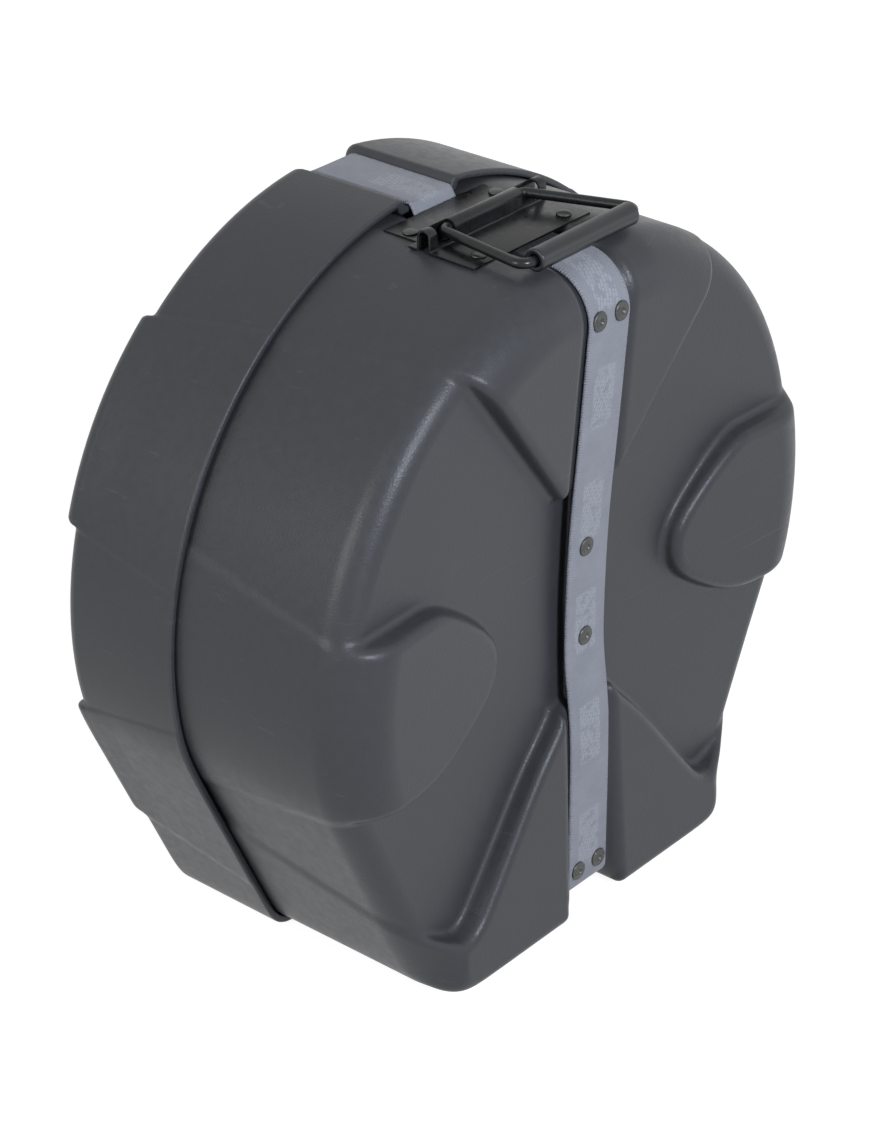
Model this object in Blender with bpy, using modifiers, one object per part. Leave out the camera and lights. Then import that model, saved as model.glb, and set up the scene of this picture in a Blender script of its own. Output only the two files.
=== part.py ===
"""Round drum case: a base shell and a telescoping lid shell, held shut by one web strap.

The case stands on the flat side of its D-shaped outline, with the drum's axis along Y.
X is left to right, the front face of the base looks along -Y and Z is up. The origin is on
the floor, in the middle of the case. Sizes are in metres.
"""
import math

import bmesh
import bpy
from mathutils import Matrix, Vector

# Overall outline of the lid, seen from the front
CASE_DEPTH = 0.2422
LID_RADIUS = 0.2340
AXIS_HEIGHT = 0.2280
SIDE_LINE_DISTANCE = 0.2312
SIDE_LINE_ANGLE = math.radians(-25.4)
CORNER_SHARPNESS = 38.0
BLEND_SHARPNESS = 150.0
PLATEAU_SHARPNESS = 400.0

# Shell walls and the telescoping fit
WALL = 0.0045
SLEEVE_CLEARANCE = 0.0019
LID_DRAFT = math.radians(0.5)
GAP = 0.0003

# Depths behind the foremost point of the front face
LID_RIM_DEPTH = 0.1462
SIDE_START_DEPTH = 0.0418
LID_FOAM_THICKNESS = 0.0157
BASE_FOAM_THICKNESS = 0.0120

# Front face levels: raised sectors, sunk fields and the feet
RAISED_CENTRE_DEPTH = 0.0224
RAISED_DISH_SLOPE = 0.075
SUNK_CENTRE_DEPTH = 0.0301
SUNK_DISH_SLOPE = 0.033
FOOT_CENTRE_DEPTH = 0.0182
FOOT_LEAN_SLOPE = 0.063
RAISED_EDGE_ROUND = 0.0360
SUNK_EDGE_ROUND = 0.0175
FOOT_EDGE_ROUND = 0.0450
FOOT_BOTTOM_ROUND = 0.0080
LID_EDGE_ROUND = 0.0095
FOOT_DROP = 0.0020
PAD_DRAFT = math.radians(10.0)
LID_PAD_RISE = 0.0065
LID_PAD_BULGE = 0.0015

# Corners of the raised sectors, right-hand side, as x and height above the case's axis; on
# the lid's back the ears' side corners sit higher
TOP_SECTOR = [(0.0280, 0.0747), (0.1720, 0.2540)]
LID_TOP_SECTOR = [(0.0280, 0.0747), (0.1560, 0.1780), (0.2700, 0.2020), (0.2700, 0.2920)]
FOOT_SECTOR = [
    (0.0240, -0.0698), (0.0314, -0.0803), (0.0562, -0.1049), (0.0854, -0.1423),
    (0.1006, -0.1611), (0.1180, -0.1820), (0.1340, -0.1840), (0.2100, -0.1380),
]
EAR_SECTOR = [
    (0.2700, 0.0554), (0.1697, 0.0554), (0.1474, 0.0554), (0.1229, 0.0413), (0.0911, 0.0144),
    (0.0852, -0.0043), (0.0911, -0.0253), (0.1217, -0.0476), (0.1486, -0.0616), (0.1849, -0.0651),
    (0.2700, -0.0616),
]
LID_EAR_RISES = {0: 0.0250, 10: 0.0070}
BELOW_FLOOR = -0.0400

# Strap and its channel
STRAP_WIDTH = 0.0380
STRAP_THICKNESS = 0.0020
CHANNEL_WIDTH = 0.0425
CHANNEL_DRAFT = math.radians(24.0)
PLATEAU_RISE = 0.2220
BASE_CHANNEL_SINK = 0.0045
BASE_CHANNEL_BOTTOM = 0.0175
TOP_BEND_RADIUS = 0.0300
BOTTOM_BEND_RADIUS = 0.0080
CHANNEL_TOP_DEPTH = 0.0106
CHANNEL_BOTTOM_DEPTH = 0.0153
FRONT_FLOOR = [
    (0.0163, 0.1070), (0.0214, 0.0480), (0.0228, -0.0140), (0.0223, -0.0430), (0.0185, -0.0700),
    (0.0158, -0.0990),
]
SPINE_WIDTH = 0.0210
SPINE_TOP_RISE = 0.0890
SPINE_BOTTOM_DROP = 0.0860
LID_CHANNEL_DEPTH = 0.0070
LID_CHANNEL_BOTTOM = 0.0116
LID_BEND_RADIUS = 0.0090
STRAP_SPLIT_DEPTH = 0.1280
STRAP_RAMP_DEPTH = 0.1310
STRAP_EXIT_DEPTH = 0.1410
STRAP_EXIT_RISE = 0.0016

STATIONS = [(-90.0, -72.0, 3), (-72.0, -50.0, 9), (-50.0, -22.0, 4), (-22.0, 73.0, 19), (73.0, 90.0, 4)]
ROUND_STEPS = 4

# Two moulded bosses under the base that level it with the lid
BOSS_INNER_X = 0.0480
BOSS_OUTER_X = 0.1080
BOSS_FRONT_DEPTH = 0.0300
BOSS_BACK_DEPTH = 0.0560
BOSS_TAPER = 0.0030

# Rivets through the strap
RIVET_PAIR_HALF_PITCH = 0.0103
TOP_RIVET_DROP = 0.0280
UPPER_RIVET_X = -0.0030
UPPER_RIVET_RISE = 0.0347
LOWER_RIVET_X = -0.0006
LOWER_RIVET_DROP = 0.0290
BOTTOM_RIVET_RISE = 0.0153
RIVET_HEAD_RADIUS = 0.0063
RIVET_HEAD_HEIGHT = 0.0018
RIVET_DIMPLE_RADIUS = 0.0024
RIVET_DIMPLE_DEPTH = 0.0010
RIVET_SHANK_RADIUS = 0.0024
RIVET_TAIL_RADIUS = 0.0040
RIVET_TAIL_HEIGHT = 0.0016
WASHER_RADIUS = 0.0075
WASHER_THICKNESS = 0.0012
ROUND_SIDES = 14

# Handle: a formed plate, a wire bail and its rubber grip
PLATE_CENTRE_X = -0.0040
PLATE_HALF_WIDTH = 0.0540
PLATE_REAR_DEPTH = 0.1390
PLATE_FRONT_DEPTH = 0.0630
PLATE_CORNER_WIDTH = 0.0080
PLATE_CORNER_DEPTH = 0.1130
PLATE_THICKNESS = 0.0015
BACKING_WIDTH = 0.0190
BACKING_SETBACK = 0.0025
BACKING_MARGIN = 0.0100
BARREL_DEPTH = 0.1015
BARREL_RISE = 0.0095
BARREL_CLEARANCE = 0.0004
WIRE_RADIUS = 0.00318
ARCH_STEPS = 6
WINDOW_INNER_X = 0.0310
WINDOW_OUTER_X = 0.0475
WINDOW_FRONT_DEPTH = 0.0900
WINDOW_BACK_DEPTH = 0.1048
WINDOW_BELOW = 0.0055
WINDOW_ABOVE = 0.0125
BAIL_BARREL_HALF = 0.0375
BAIL_GRIP_HALF = 0.0555
BAIL_BARREL_BEND = 0.0050
BAIL_GRIP_BEND = 0.0065
GRIP_DEPTH = 0.0330
GRIP_SKEW = 0.0080
GRIP_HALF_LENGTH = 0.0455
GRIP_RADIUS = 0.0072
GRIP_EDGE = 0.0012
HANDLE_RIVET_HEAD_RADIUS = 0.0048
HANDLE_RIVET_HEIGHT = 0.0016
HANDLE_RIVET_PLACES = {
    "rear_left": (-0.0430, 0.1245),
    "rear_right": (0.0370, 0.1245),
    "front_left": (-0.0430, 0.0725),
    "front_right": (0.0370, 0.0725),
}

# Buckle in its pocket on the lid's back
POCKET_HALF_WIDTH = 0.0330
POCKET_BOTTOM_DROP = 0.0730
POCKET_TOP_RISE = 0.0720
POCKET_EXTRA_DEPTH = 0.0030
BUCKLE_HALF_WIDTH = 0.0250
BUCKLE_THICKNESS = 0.0110
SOCKET_BOTTOM_DROP = 0.0065
SOCKET_TOP_RISE = 0.0295
SOCKET_ROOM_TOP_RISE = 0.0210
SOCKET_ROOM_HALF_WIDTH = 0.0215
SOCKET_ROOM_THICKNESS = 0.0064
LATCH_WINDOW_BOTTOM_RISE = 0.0090
LATCH_WINDOW_TOP_RISE = 0.0180
PLUG_BOTTOM_DROP = 0.0215
PLUG_TOP_DROP = 0.0095
TONGUE_HALF_WIDTH = 0.0045
TONGUE_TOP_RISE = 0.0170
TONGUE_THICKNESS = 0.0050
PRONG_INNER_X = 0.0130
PRONG_OUTER_X = 0.0180
PRONG_HEAD_X = 0.0235
PRONG_HEAD_BOTTOM_RISE = 0.0100
PRONG_TOP_RISE = 0.0170
WEB_SOCKET_LENGTH = 0.0060
KEEPER_DROP = 0.0470
KEEPER_LENGTH = 0.0100
KEEPER_WALL = 0.0020

# Foam inside
FOAM_DISC_INSET = 0.0180
LID_FOAM_INSET = 0.0008
DRUM_RADIUS = 0.1990
CRADLE_FRONT_DEPTH = 0.0600
CRADLE_SETBACK = 0.0199
CRADLES = {
    "left": (164.0, 196.0),
    "right": (-16.0, 16.0),
    "lower_left": (222.0, 238.0),
    "lower_right": (-58.0, -42.0),
}
FOAM_RIVET_HOLE = 0.0095
CRADLE_STEPS = 6
CRADLE_GAP = 0.0008

BLACK_POLYETHYLENE = ((0.080, 0.083, 0.092), 0.55, 0.0)
WEBBING = ((0.270, 0.280, 0.310), 0.85, 0.0)
STEEL_BLACK = ((0.018, 0.020, 0.022), 0.35, 0.6)
RUBBER = ((0.020, 0.022, 0.025), 0.60, 0.0)
ZINC = ((0.160, 0.165, 0.170), 0.40, 0.8)
BRIGHT_ZINC = ((0.450, 0.460, 0.470), 0.35, 0.9)
ACETAL = ((0.020, 0.020, 0.022), 0.45, 0.0)
FOAM = ((0.045, 0.045, 0.050), 0.95, 0.0)

# Sizes that follow from the ones above
LID_BACK_DEPTH = CASE_DEPTH - LID_PAD_RISE
PLATEAU_HEIGHT = AXIS_HEIGHT + PLATEAU_RISE
BASE_CHANNEL_TOP = PLATEAU_HEIGHT - BASE_CHANNEL_SINK
SPINE_TOP = AXIS_HEIGHT + SPINE_TOP_RISE
SPINE_BOTTOM = AXIS_HEIGHT - SPINE_BOTTOM_DROP
BARREL_HEIGHT = PLATEAU_HEIGHT + BARREL_RISE
WINDOW_BOTTOM = BARREL_HEIGHT - WINDOW_BELOW
WINDOW_TOP = BARREL_HEIGHT + WINDOW_ABOVE
POCKET_BOTTOM = AXIS_HEIGHT - POCKET_BOTTOM_DROP
POCKET_TOP = AXIS_HEIGHT + POCKET_TOP_RISE
SOCKET_BOTTOM = AXIS_HEIGHT - SOCKET_BOTTOM_DROP
SOCKET_TOP = AXIS_HEIGHT + SOCKET_TOP_RISE
SOCKET_ROOM_TOP = AXIS_HEIGHT + SOCKET_ROOM_TOP_RISE
LATCH_WINDOW_BOTTOM = AXIS_HEIGHT + LATCH_WINDOW_BOTTOM_RISE
LATCH_WINDOW_TOP = AXIS_HEIGHT + LATCH_WINDOW_TOP_RISE
PLUG_BOTTOM = AXIS_HEIGHT - PLUG_BOTTOM_DROP
PLUG_TOP = AXIS_HEIGHT - PLUG_TOP_DROP
TONGUE_TOP = AXIS_HEIGHT + TONGUE_TOP_RISE
PRONG_HEAD_BOTTOM = AXIS_HEIGHT + PRONG_HEAD_BOTTOM_RISE
PRONG_TOP = AXIS_HEIGHT + PRONG_TOP_RISE
KEEPER_HEIGHT = AXIS_HEIGHT - KEEPER_DROP
RIVET_PLACES = {
    "top_left": (-RIVET_PAIR_HALF_PITCH, BASE_CHANNEL_TOP - TOP_RIVET_DROP),
    "top_right": (RIVET_PAIR_HALF_PITCH, BASE_CHANNEL_TOP - TOP_RIVET_DROP),
    "middle_upper": (UPPER_RIVET_X, AXIS_HEIGHT + UPPER_RIVET_RISE),
    "middle_lower": (LOWER_RIVET_X, AXIS_HEIGHT - LOWER_RIVET_DROP),
    "bottom_left": (-RIVET_PAIR_HALF_PITCH, BASE_CHANNEL_BOTTOM + BOTTOM_RIVET_RISE),
    "bottom_right": (RIVET_PAIR_HALF_PITCH, BASE_CHANNEL_BOTTOM + BOTTOM_RIVET_RISE),
}
BASE_INSET = WALL + SLEEVE_CLEARANCE
FOOT_HEIGHT = BASE_INSET + FOOT_BOTTOM_ROUND - FOOT_DROP
FRONT_DEPTH = FOOT_CENTRE_DEPTH - FOOT_LEAN_SLOPE * (AXIS_HEIGHT - FOOT_HEIGHT)
BASE_RIM_DEPTH = LID_BACK_DEPTH - WALL - 2 * GAP - LID_FOAM_THICKNESS
CRADLE_BACK_DEPTH = BASE_RIM_DEPTH - CRADLE_SETBACK
PAD_ROOT_DEPTH = 0.0850
PAD_OUTLINE_DEPTH = 0.0260
PAD_SKIN = 0.0003
CUT_REACH = 0.0500
CHANNEL_HALF = CHANNEL_WIDTH / 2
BLOCK_HALF = CHANNEL_HALF + WALL
CHANNEL_FLARE = 0.0110
SLOT_HALF = BLOCK_HALF + CHANNEL_FLARE * math.tan(CHANNEL_DRAFT) + 3 * GAP
SLOT_SETBACK = 0.0060
SLOT_FRONT_DEPTH = LID_RIM_DEPTH - SLOT_SETBACK
ARCH_RADIUS = WIRE_RADIUS + BARREL_CLEARANCE
HOLE_CLEARANCE = 0.0003
FLATNESS = 0.00001
MERGE_DISTANCE = 0.00001
SEAT_CLEARANCE = 0.0008

MODEL = bpy.data.collections.new("drum_case")
GUIDES = bpy.data.collections.new("drum_case_cutters")


def remove_everything():
    """Start from an empty scene."""
    for obj in list(bpy.data.objects):
        bpy.data.objects.remove(obj, do_unlink=True)
    bpy.context.scene.collection.children.link(MODEL)
    bpy.context.scene.collection.children.link(GUIDES)


def paint(obj, look):
    """Give an object a material of its own."""
    colour, roughness, metallic = look
    material = bpy.data.materials.new(obj.name)
    material.use_nodes = True
    shader = material.node_tree.nodes["Principled BSDF"]
    shader.inputs["Base Color"].default_value = (*colour, 1.0)
    shader.inputs["Roughness"].default_value = roughness
    shader.inputs["Metallic"].default_value = metallic
    obj.data.materials.clear()
    obj.data.materials.append(material)
    return obj


def y_of(depth):
    """World Y of a depth, with the case's front and back equally far from 0."""
    return depth - (FRONT_DEPTH + CASE_DEPTH) / 2


def link(obj, guide=False):
    """Put an object among the parts, or among the hidden cutters."""
    if guide:
        GUIDES.objects.link(obj)
        obj.hide_render = True
        obj.display_type = "WIRE"
    else:
        MODEL.objects.link(obj)
    return obj


def to_object(name, data, guide=False):
    """Turn a bmesh into a named object with flat faces and outward normals."""
    bmesh.ops.connect_verts_nonplanar(data, angle_limit=FLATNESS, faces=data.faces)
    bmesh.ops.recalc_face_normals(data, faces=data.faces)
    mesh = bpy.data.meshes.new(name)
    data.to_mesh(mesh)
    data.free()
    return link(bpy.data.objects.new(name, mesh), guide)


def combine(target, others, operation):
    """Add one exact Boolean of an object with a group of guide solids."""
    group = bpy.data.collections.new(f"{target.name}_{operation.lower()}")
    GUIDES.children.link(group)
    for other in others:
        group.objects.link(other)
    modifier = target.modifiers.new(group.name, "BOOLEAN")
    modifier.operation = operation
    modifier.operand_type = "COLLECTION"
    modifier.collection = group
    modifier.solver = "EXACT"
    return target


def settle(target):
    """Apply an object's Booleans, and drop the doubled points and faces that they leave."""
    graph = bpy.context.evaluated_depsgraph_get()
    mesh = bpy.data.meshes.new_from_object(target.evaluated_get(graph))
    data = bmesh.new()
    data.from_mesh(mesh)
    bmesh.ops.remove_doubles(data, verts=data.verts, dist=MERGE_DISTANCE)
    bmesh.ops.triangulate(data, faces=data.faces)
    twins = {}
    for face in data.faces:
        twins.setdefault(frozenset(face.verts), []).append(face)
    spare = []
    for faces in twins.values():
        crowded = any(len(edge.link_faces) > 3 for edge in faces[0].edges)
        spare += faces if crowded and len(faces) > 1 else faces[1:]
    bmesh.ops.delete(data, geom=spare, context="FACES_ONLY")
    bmesh.ops.recalc_face_normals(data, faces=data.faces)
    data.to_mesh(mesh)
    data.free()
    target.modifiers.clear()
    target.data = mesh
    return target


def cut(target, *cutters):
    """Subtract cutters from an object."""
    return combine(target, cutters, "DIFFERENCE")


def join(target, *additions):
    """Add guide solids to an object."""
    return combine(target, additions, "UNION")


def loft(name, rings, start_centre=None, end_centre=None, guide=False):
    """Skin a row of rings that have equal point counts, and close both ends."""
    data = bmesh.new()
    loops = [[data.verts.new(point) for point in ring] for ring in rings]
    count = len(loops[0])
    for first, second in zip(loops, loops[1:]):
        for index in range(count):
            following = (index + 1) % count
            data.faces.new((first[index], first[following], second[following], second[index]))
    for loop, centre in ((loops[0], start_centre), (loops[-1], end_centre)):
        if centre is None:
            data.faces.new(loop)
            continue
        hub = data.verts.new(centre)
        for index in range(count):
            data.faces.new((loop[index], loop[(index + 1) % count], hub))
    return to_object(name, data, guide)


def box(name, low, high, guide=False):
    """A box between two corners, given as x, depth and height."""
    data = bmesh.new()
    bmesh.ops.create_cube(data, size=1.0)
    size = [top - bottom for bottom, top in zip(low, high)]
    middle = [(top + bottom) / 2 for bottom, top in zip(low, high)]
    bmesh.ops.scale(data, vec=size, verts=data.verts)
    bmesh.ops.translate(data, vec=(middle[0], y_of(middle[1]), middle[2]), verts=data.verts)
    return to_object(name, data, guide)


def cylinder(name, radius, centre, direction, length, guide=False):
    """A cylinder about a centre, with its axis along a direction."""
    data = bmesh.new()
    bmesh.ops.create_cone(
        data, cap_ends=True, segments=ROUND_SIDES, radius1=radius, radius2=radius, depth=length
    )
    turn = Vector(direction).to_track_quat("Z", "Y").to_matrix().to_4x4()
    bmesh.ops.transform(data, matrix=Matrix.Translation(centre) @ turn, verts=data.verts)
    return to_object(name, data, guide)


def turned(name, profile, closed=False):
    """A turned piece about its own Z axis, from a profile of radius and height."""
    data = bmesh.new()
    vertices = [data.verts.new((radius, 0.0, height)) for radius, height in profile]
    for first, second in zip(vertices, vertices[1:]):
        data.edges.new((first, second))
    if closed:
        data.edges.new((vertices[-1], vertices[0]))
    mesh = bpy.data.meshes.new(name)
    data.to_mesh(mesh)
    data.free()
    obj = link(bpy.data.objects.new(name, mesh))
    screw = obj.modifiers.new("turn", "SCREW")
    screw.steps = ROUND_SIDES
    screw.render_steps = ROUND_SIDES
    screw.use_merge_vertices = True
    screw.merge_threshold = MERGE_DISTANCE
    return obj


def extruded(name, points, half_length, axis="X", middle=0.0, guide=False):
    """A flat outline extruded both ways along X (depth, height) or along Y (x, height)."""
    curve = bpy.data.curves.new(name, "CURVE")
    curve.dimensions = "2D"
    curve.fill_mode = "BOTH"
    curve.extrude = half_length
    spline = curve.splines.new("POLY")
    spline.points.add(len(points) - 1)
    for point, (across, height) in zip(spline.points, points):
        point.co = (across, height, 0.0, 1.0)
    spline.use_cyclic_u = True
    source = bpy.data.objects.new(name + "_outline", curve)
    MODEL.objects.link(source)
    if axis == "X":
        place = Matrix(((0, 0, 1, middle), (1, 0, 0, y_of(0.0)), (0, 1, 0, 0), (0, 0, 0, 1)))
    else:
        place = Matrix(((1, 0, 0, 0), (0, 0, -1, y_of(middle)), (0, 1, 0, 0), (0, 0, 0, 1)))
    mesh = mesh_of(source)
    mesh.transform(place)
    data = bmesh.new()
    data.from_mesh(mesh)
    bmesh.ops.remove_doubles(data, verts=data.verts, dist=MERGE_DISTANCE)
    return to_object(name, data, guide)


def mesh_of(source):
    """Turn a curve object into a mesh and remove the curve."""
    graph = bpy.context.evaluated_depsgraph_get()
    mesh = bpy.data.meshes.new_from_object(source.evaluated_get(graph))
    mesh.transform(source.matrix_world)
    bpy.data.objects.remove(source, do_unlink=True)
    return mesh


def soft_minimum(values, sharpness):
    """The least of some lengths, with the corner between two of them rounded."""
    least = min(values)
    return least * sum((value / least) ** -sharpness for value in values) ** (-1.0 / sharpness)


def station_angles():
    """Angles round the outline, closer together at the lower corners."""
    right = []
    for start, stop, count in STATIONS:
        step = (stop - start) / count
        right.extend(start + step * index for index in range(count))
    left = [180.0 - angle for angle in reversed(right)]
    angles = right + [STATIONS[-1][1]] + left
    return [math.radians(angle) for angle in angles[:-1]]


class Outline:
    """The D-shaped outline as distances from the case's axis."""

    def __init__(self, inset, plateau=None):
        self.radius = LID_RADIUS - inset
        self.side = SIDE_LINE_DISTANCE - inset
        self.below = AXIS_HEIGHT - inset
        self.plateau = plateau

    def reach(self, angle, side_inset, below_inset):
        """Distance from the axis at one angle, and how far the floor line sets it."""
        facing = SIDE_LINE_ANGLE if math.cos(angle) > 0.0 else math.pi - SIDE_LINE_ANGLE
        along = math.cos(angle - facing)
        circle = self.radius - side_inset
        if math.sin(angle) < math.sin(SIDE_LINE_ANGLE):
            circle /= along
        result = circle
        if along > 0.05:
            result = soft_minimum([circle, (self.side - side_inset) / along], BLEND_SHARPNESS)
        floor_share = 0.0
        if math.sin(angle) < -0.05:
            floor = (self.below - below_inset) / -math.sin(angle)
            floor_share = 1.0 / (1.0 + (floor / result) ** CORNER_SHARPNESS)
            result = soft_minimum([result, floor], CORNER_SHARPNESS)
        if self.plateau is not None and math.sin(angle) > 0.05:
            roof = (self.plateau - side_inset) / math.sin(angle)
            result = soft_minimum([result, roof], PLATEAU_SHARPNESS)
        return result, floor_share

    def ring(self, depth_of, side_inset=0.0, below_inset=None):
        """A ring of points; depth_of gives the depth for x, height and the floor's share."""
        if below_inset is None:
            below_inset = side_inset
        points = []
        for angle in station_angles():
            reach, floor_share = self.reach(angle, side_inset, below_inset)
            x = reach * math.cos(angle)
            height = AXIS_HEIGHT + reach * math.sin(angle)
            points.append(Vector((x, y_of(depth_of(x, height, floor_share)), height)))
        return points


def flat(depth):
    """A level that is the same everywhere."""
    return lambda x, height, floor_share=0.0: depth


def dished(centre_depth, slope):
    """A shallow cone, deepest at the axis."""
    return lambda x, height: centre_depth - slope * math.hypot(x, height - AXIS_HEIGHT)


def leaning(centre_depth, slope):
    """A plane whose lower part leans outward."""
    return lambda x, height: centre_depth - slope * (AXIS_HEIGHT - height)


def rounded_face(outline, level, side_depth, side_round, below_round, insets=(0.0, 0.0)):
    """Rings over the rounded edge between the side wall and a face at the given level."""
    rings = []
    for step in range(ROUND_STEPS + 1):
        angle = math.pi / 2 * step / ROUND_STEPS
        inward = 1.0 - math.cos(angle)
        remaining = 1.0 - math.sin(angle)

        def depth_of(x, height, floor_share, remaining=remaining):
            face = level(x, height)
            to_side = side_depth - face
            to_floor = math.copysign(below_round, to_side)
            return face + remaining * ((1.0 - floor_share) * to_side + floor_share * to_floor)

        side = insets[0] + side_round * inward
        below = insets[1] + below_round * inward
        rings.append(outline.ring(depth_of, side, below))
    return rings


def face_centre(level):
    """The middle point of a face at the given level."""
    return Vector((0.0, y_of(level(0.0, AXIS_HEIGHT)), AXIS_HEIGHT))


def corner_shift(before, here, after, distance):
    """Where a corner goes when its two edges move to the right of their travel."""
    first = (here - before).normalized()
    second = (after - here).normalized()
    first_normal = Vector((first.y, -first.x))
    second_normal = Vector((second.y, -second.x))
    bisector = (first_normal + second_normal).normalized()
    return here + bisector * (distance / bisector.dot(first_normal))


def outset(points, distance):
    """Move a closed anticlockwise outline outward."""
    corners = [Vector(point) for point in points]
    count = len(corners)
    return [
        corner_shift(corners[index - 1], corners[index], corners[(index + 1) % count], distance)
        for index in range(count)
    ]


def offset_path(points, distance):
    """Move an open path to the right of its travel."""
    corners = [Vector(point) for point in points]
    corners.insert(0, 2 * corners[0] - corners[1])
    corners.append(2 * corners[-1] - corners[-2])
    return [
        corner_shift(corners[index - 1], corners[index], corners[index + 1], distance)
        for index in range(1, len(corners) - 1)
    ]


def arc(centre, radius, start, stop, steps):
    """Points along an arc in the depth and height plane, angles in degrees."""
    points = []
    for step in range(steps + 1):
        angle = math.radians(start + (stop - start) * step / steps)
        points.append((centre[0] + radius * math.cos(angle), centre[1] + radius * math.sin(angle)))
    return points


def above_axis(points):
    """Pairs of a size and a height above the axis, with the height from the floor instead."""
    return [(size, AXIS_HEIGHT + rise) for size, rise in points]


def mirrored(points):
    """The mirror image of an outline of x and height, still anticlockwise."""
    return [(-x, height) for x, height in reversed(points)]


def sector_outlines(top_half, ear_rises):
    """Outlines of the raised sectors: the top one, the two ears and the joined feet."""
    half = above_axis(top_half)
    top = half + mirrored(half)
    ear = [
        (x, height + ear_rises.get(index, 0.0)) for index, (x, height) in enumerate(above_axis(EAR_SECTOR))
    ]
    foot = above_axis(FOOT_SECTOR)
    edge_x = foot[-1][0]
    feet = [(-edge_x, BELOW_FLOOR), (edge_x, BELOW_FLOOR)]
    feet += list(reversed(foot)) + [(-x, height) for x, height in foot]
    return {"top": [top], "ears": [ear, mirrored(ear)], "feet": [feet]}


def drafted_prisms(name, outlines, near_depth, far_depth, near_grow, far_grow):
    """Prisms along Y over outlines in x and height, whose sides lean, as one guide."""
    data = bmesh.new()
    for outline in outlines:
        loops = []
        for depth, grow in ((near_depth, near_grow), (far_depth, far_grow)):
            corners = outset(outline, grow)
            loops.append([data.verts.new((x, y_of(depth), height)) for x, height in corners])
        data.faces.new(loops[0])
        data.faces.new(loops[1])
        count = len(outline)
        for index in range(count):
            following = (index + 1) % count
            corners = (loops[0][index], loops[0][following], loops[1][following], loops[1][index])
            data.faces.new(corners)
    return to_object(name, data, guide=True)


def front_prisms(kind, inset):
    """The prisms of one kind of sector at the base's front, shrunk by an inset."""
    near_depth = -CUT_REACH
    far_depth = PAD_ROOT_DEPTH + WALL
    lean = math.tan(PAD_DRAFT)
    near_grow = (near_depth - PAD_OUTLINE_DEPTH) * lean - inset
    far_grow = (far_depth - PAD_OUTLINE_DEPTH) * lean - inset
    name = f"{kind}_prisms_{'inner' if inset else 'outer'}"
    outlines = sector_outlines(TOP_SECTOR, {})[kind]
    return drafted_prisms(name, outlines, near_depth, far_depth, near_grow, far_grow)


def back_prisms(kind):
    """The prisms of one kind of sector where the lid's back stays low."""
    lean = math.tan(PAD_DRAFT)
    near_depth = LID_BACK_DEPTH - CUT_REACH
    far_depth = CASE_DEPTH + CUT_REACH
    near_grow = (near_depth - CASE_DEPTH) * lean
    far_grow = (far_depth - CASE_DEPTH) * lean
    outlines = sector_outlines(LID_TOP_SECTOR, LID_EAR_RISES)[kind]
    return drafted_prisms(f"{kind}_prisms_back", outlines, near_depth, far_depth, near_grow, far_grow)


def sunk_solid(name, wall, rear_depth, guide):
    """The base's body with its front at the sunk level, thinner all round by a wall."""
    outline = Outline(BASE_INSET + wall, PLATEAU_HEIGHT - AXIS_HEIGHT - wall)
    level = dished(SUNK_CENTRE_DEPTH + wall, SUNK_DISH_SLOPE)
    side_round = SUNK_EDGE_ROUND - wall
    below_round = FOOT_BOTTOM_ROUND - wall
    rings = [outline.ring(flat(rear_depth))]
    rings += rounded_face(outline, level, SIDE_START_DEPTH, side_round, below_round)
    return loft(name, rings, face_centre(flat(rear_depth)), face_centre(level), guide=guide)


def pad_solid(kind, wall):
    """A raised sector of the front face, out to its own level and edge rounding."""
    outline = Outline(BASE_INSET + wall, PLATEAU_HEIGHT - AXIS_HEIGHT - wall)
    insets = (PAD_SKIN, PAD_SKIN)
    if kind == "feet":
        level = leaning(FOOT_CENTRE_DEPTH + wall, FOOT_LEAN_SLOPE)
        side_round = FOOT_EDGE_ROUND - wall
        insets = (PAD_SKIN, -FOOT_DROP)
    else:
        level = dished(RAISED_CENTRE_DEPTH + wall, RAISED_DISH_SLOPE)
        side_round = RAISED_EDGE_ROUND - wall
    below_round = FOOT_BOTTOM_ROUND - wall
    rings = [outline.ring(flat(PAD_ROOT_DEPTH), PAD_SKIN)]
    rings += rounded_face(outline, level, SIDE_START_DEPTH, side_round, below_round, insets)
    name = f"{kind}_pad_{'inner' if wall else 'outer'}"
    root_centre = face_centre(flat(PAD_ROOT_DEPTH))
    pad = loft(name, rings, root_centre, face_centre(level), guide=True)
    return combine(pad, [front_prisms(kind, wall)], "INTERSECT")


def base_path():
    """The channel floor over the base's top, front and bottom, as depth and height."""
    top_centre = (CHANNEL_TOP_DEPTH + TOP_BEND_RADIUS, BASE_CHANNEL_TOP - TOP_BEND_RADIUS)
    bottom_centre = (
        CHANNEL_BOTTOM_DEPTH + BOTTOM_BEND_RADIUS, BASE_CHANNEL_BOTTOM + BOTTOM_BEND_RADIUS
    )
    over_top = arc(top_centre, TOP_BEND_RADIUS, 90.0, 180.0, 6)
    under_bottom = arc(bottom_centre, BOTTOM_BEND_RADIUS, 180.0, 270.0, 3)
    return over_top + above_axis(FRONT_FLOOR) + under_bottom


def lid_path(front_depth):
    """The channel floor under the lid, up its back and over its top."""
    back_depth = LID_BACK_DEPTH - LID_CHANNEL_DEPTH
    top_height = AXIS_HEIGHT + LID_RADIUS - LID_CHANNEL_DEPTH
    bend_depth = back_depth - LID_BEND_RADIUS
    low_bend = arc((bend_depth, LID_CHANNEL_BOTTOM + LID_BEND_RADIUS), LID_BEND_RADIUS, -90.0, 0.0, 3)
    high_bend = arc((bend_depth, top_height - LID_BEND_RADIUS), LID_BEND_RADIUS, 0.0, 90.0, 3)
    return [(front_depth, LID_CHANNEL_BOTTOM)] + low_bend + high_bend + [(front_depth, top_height)]


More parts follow.
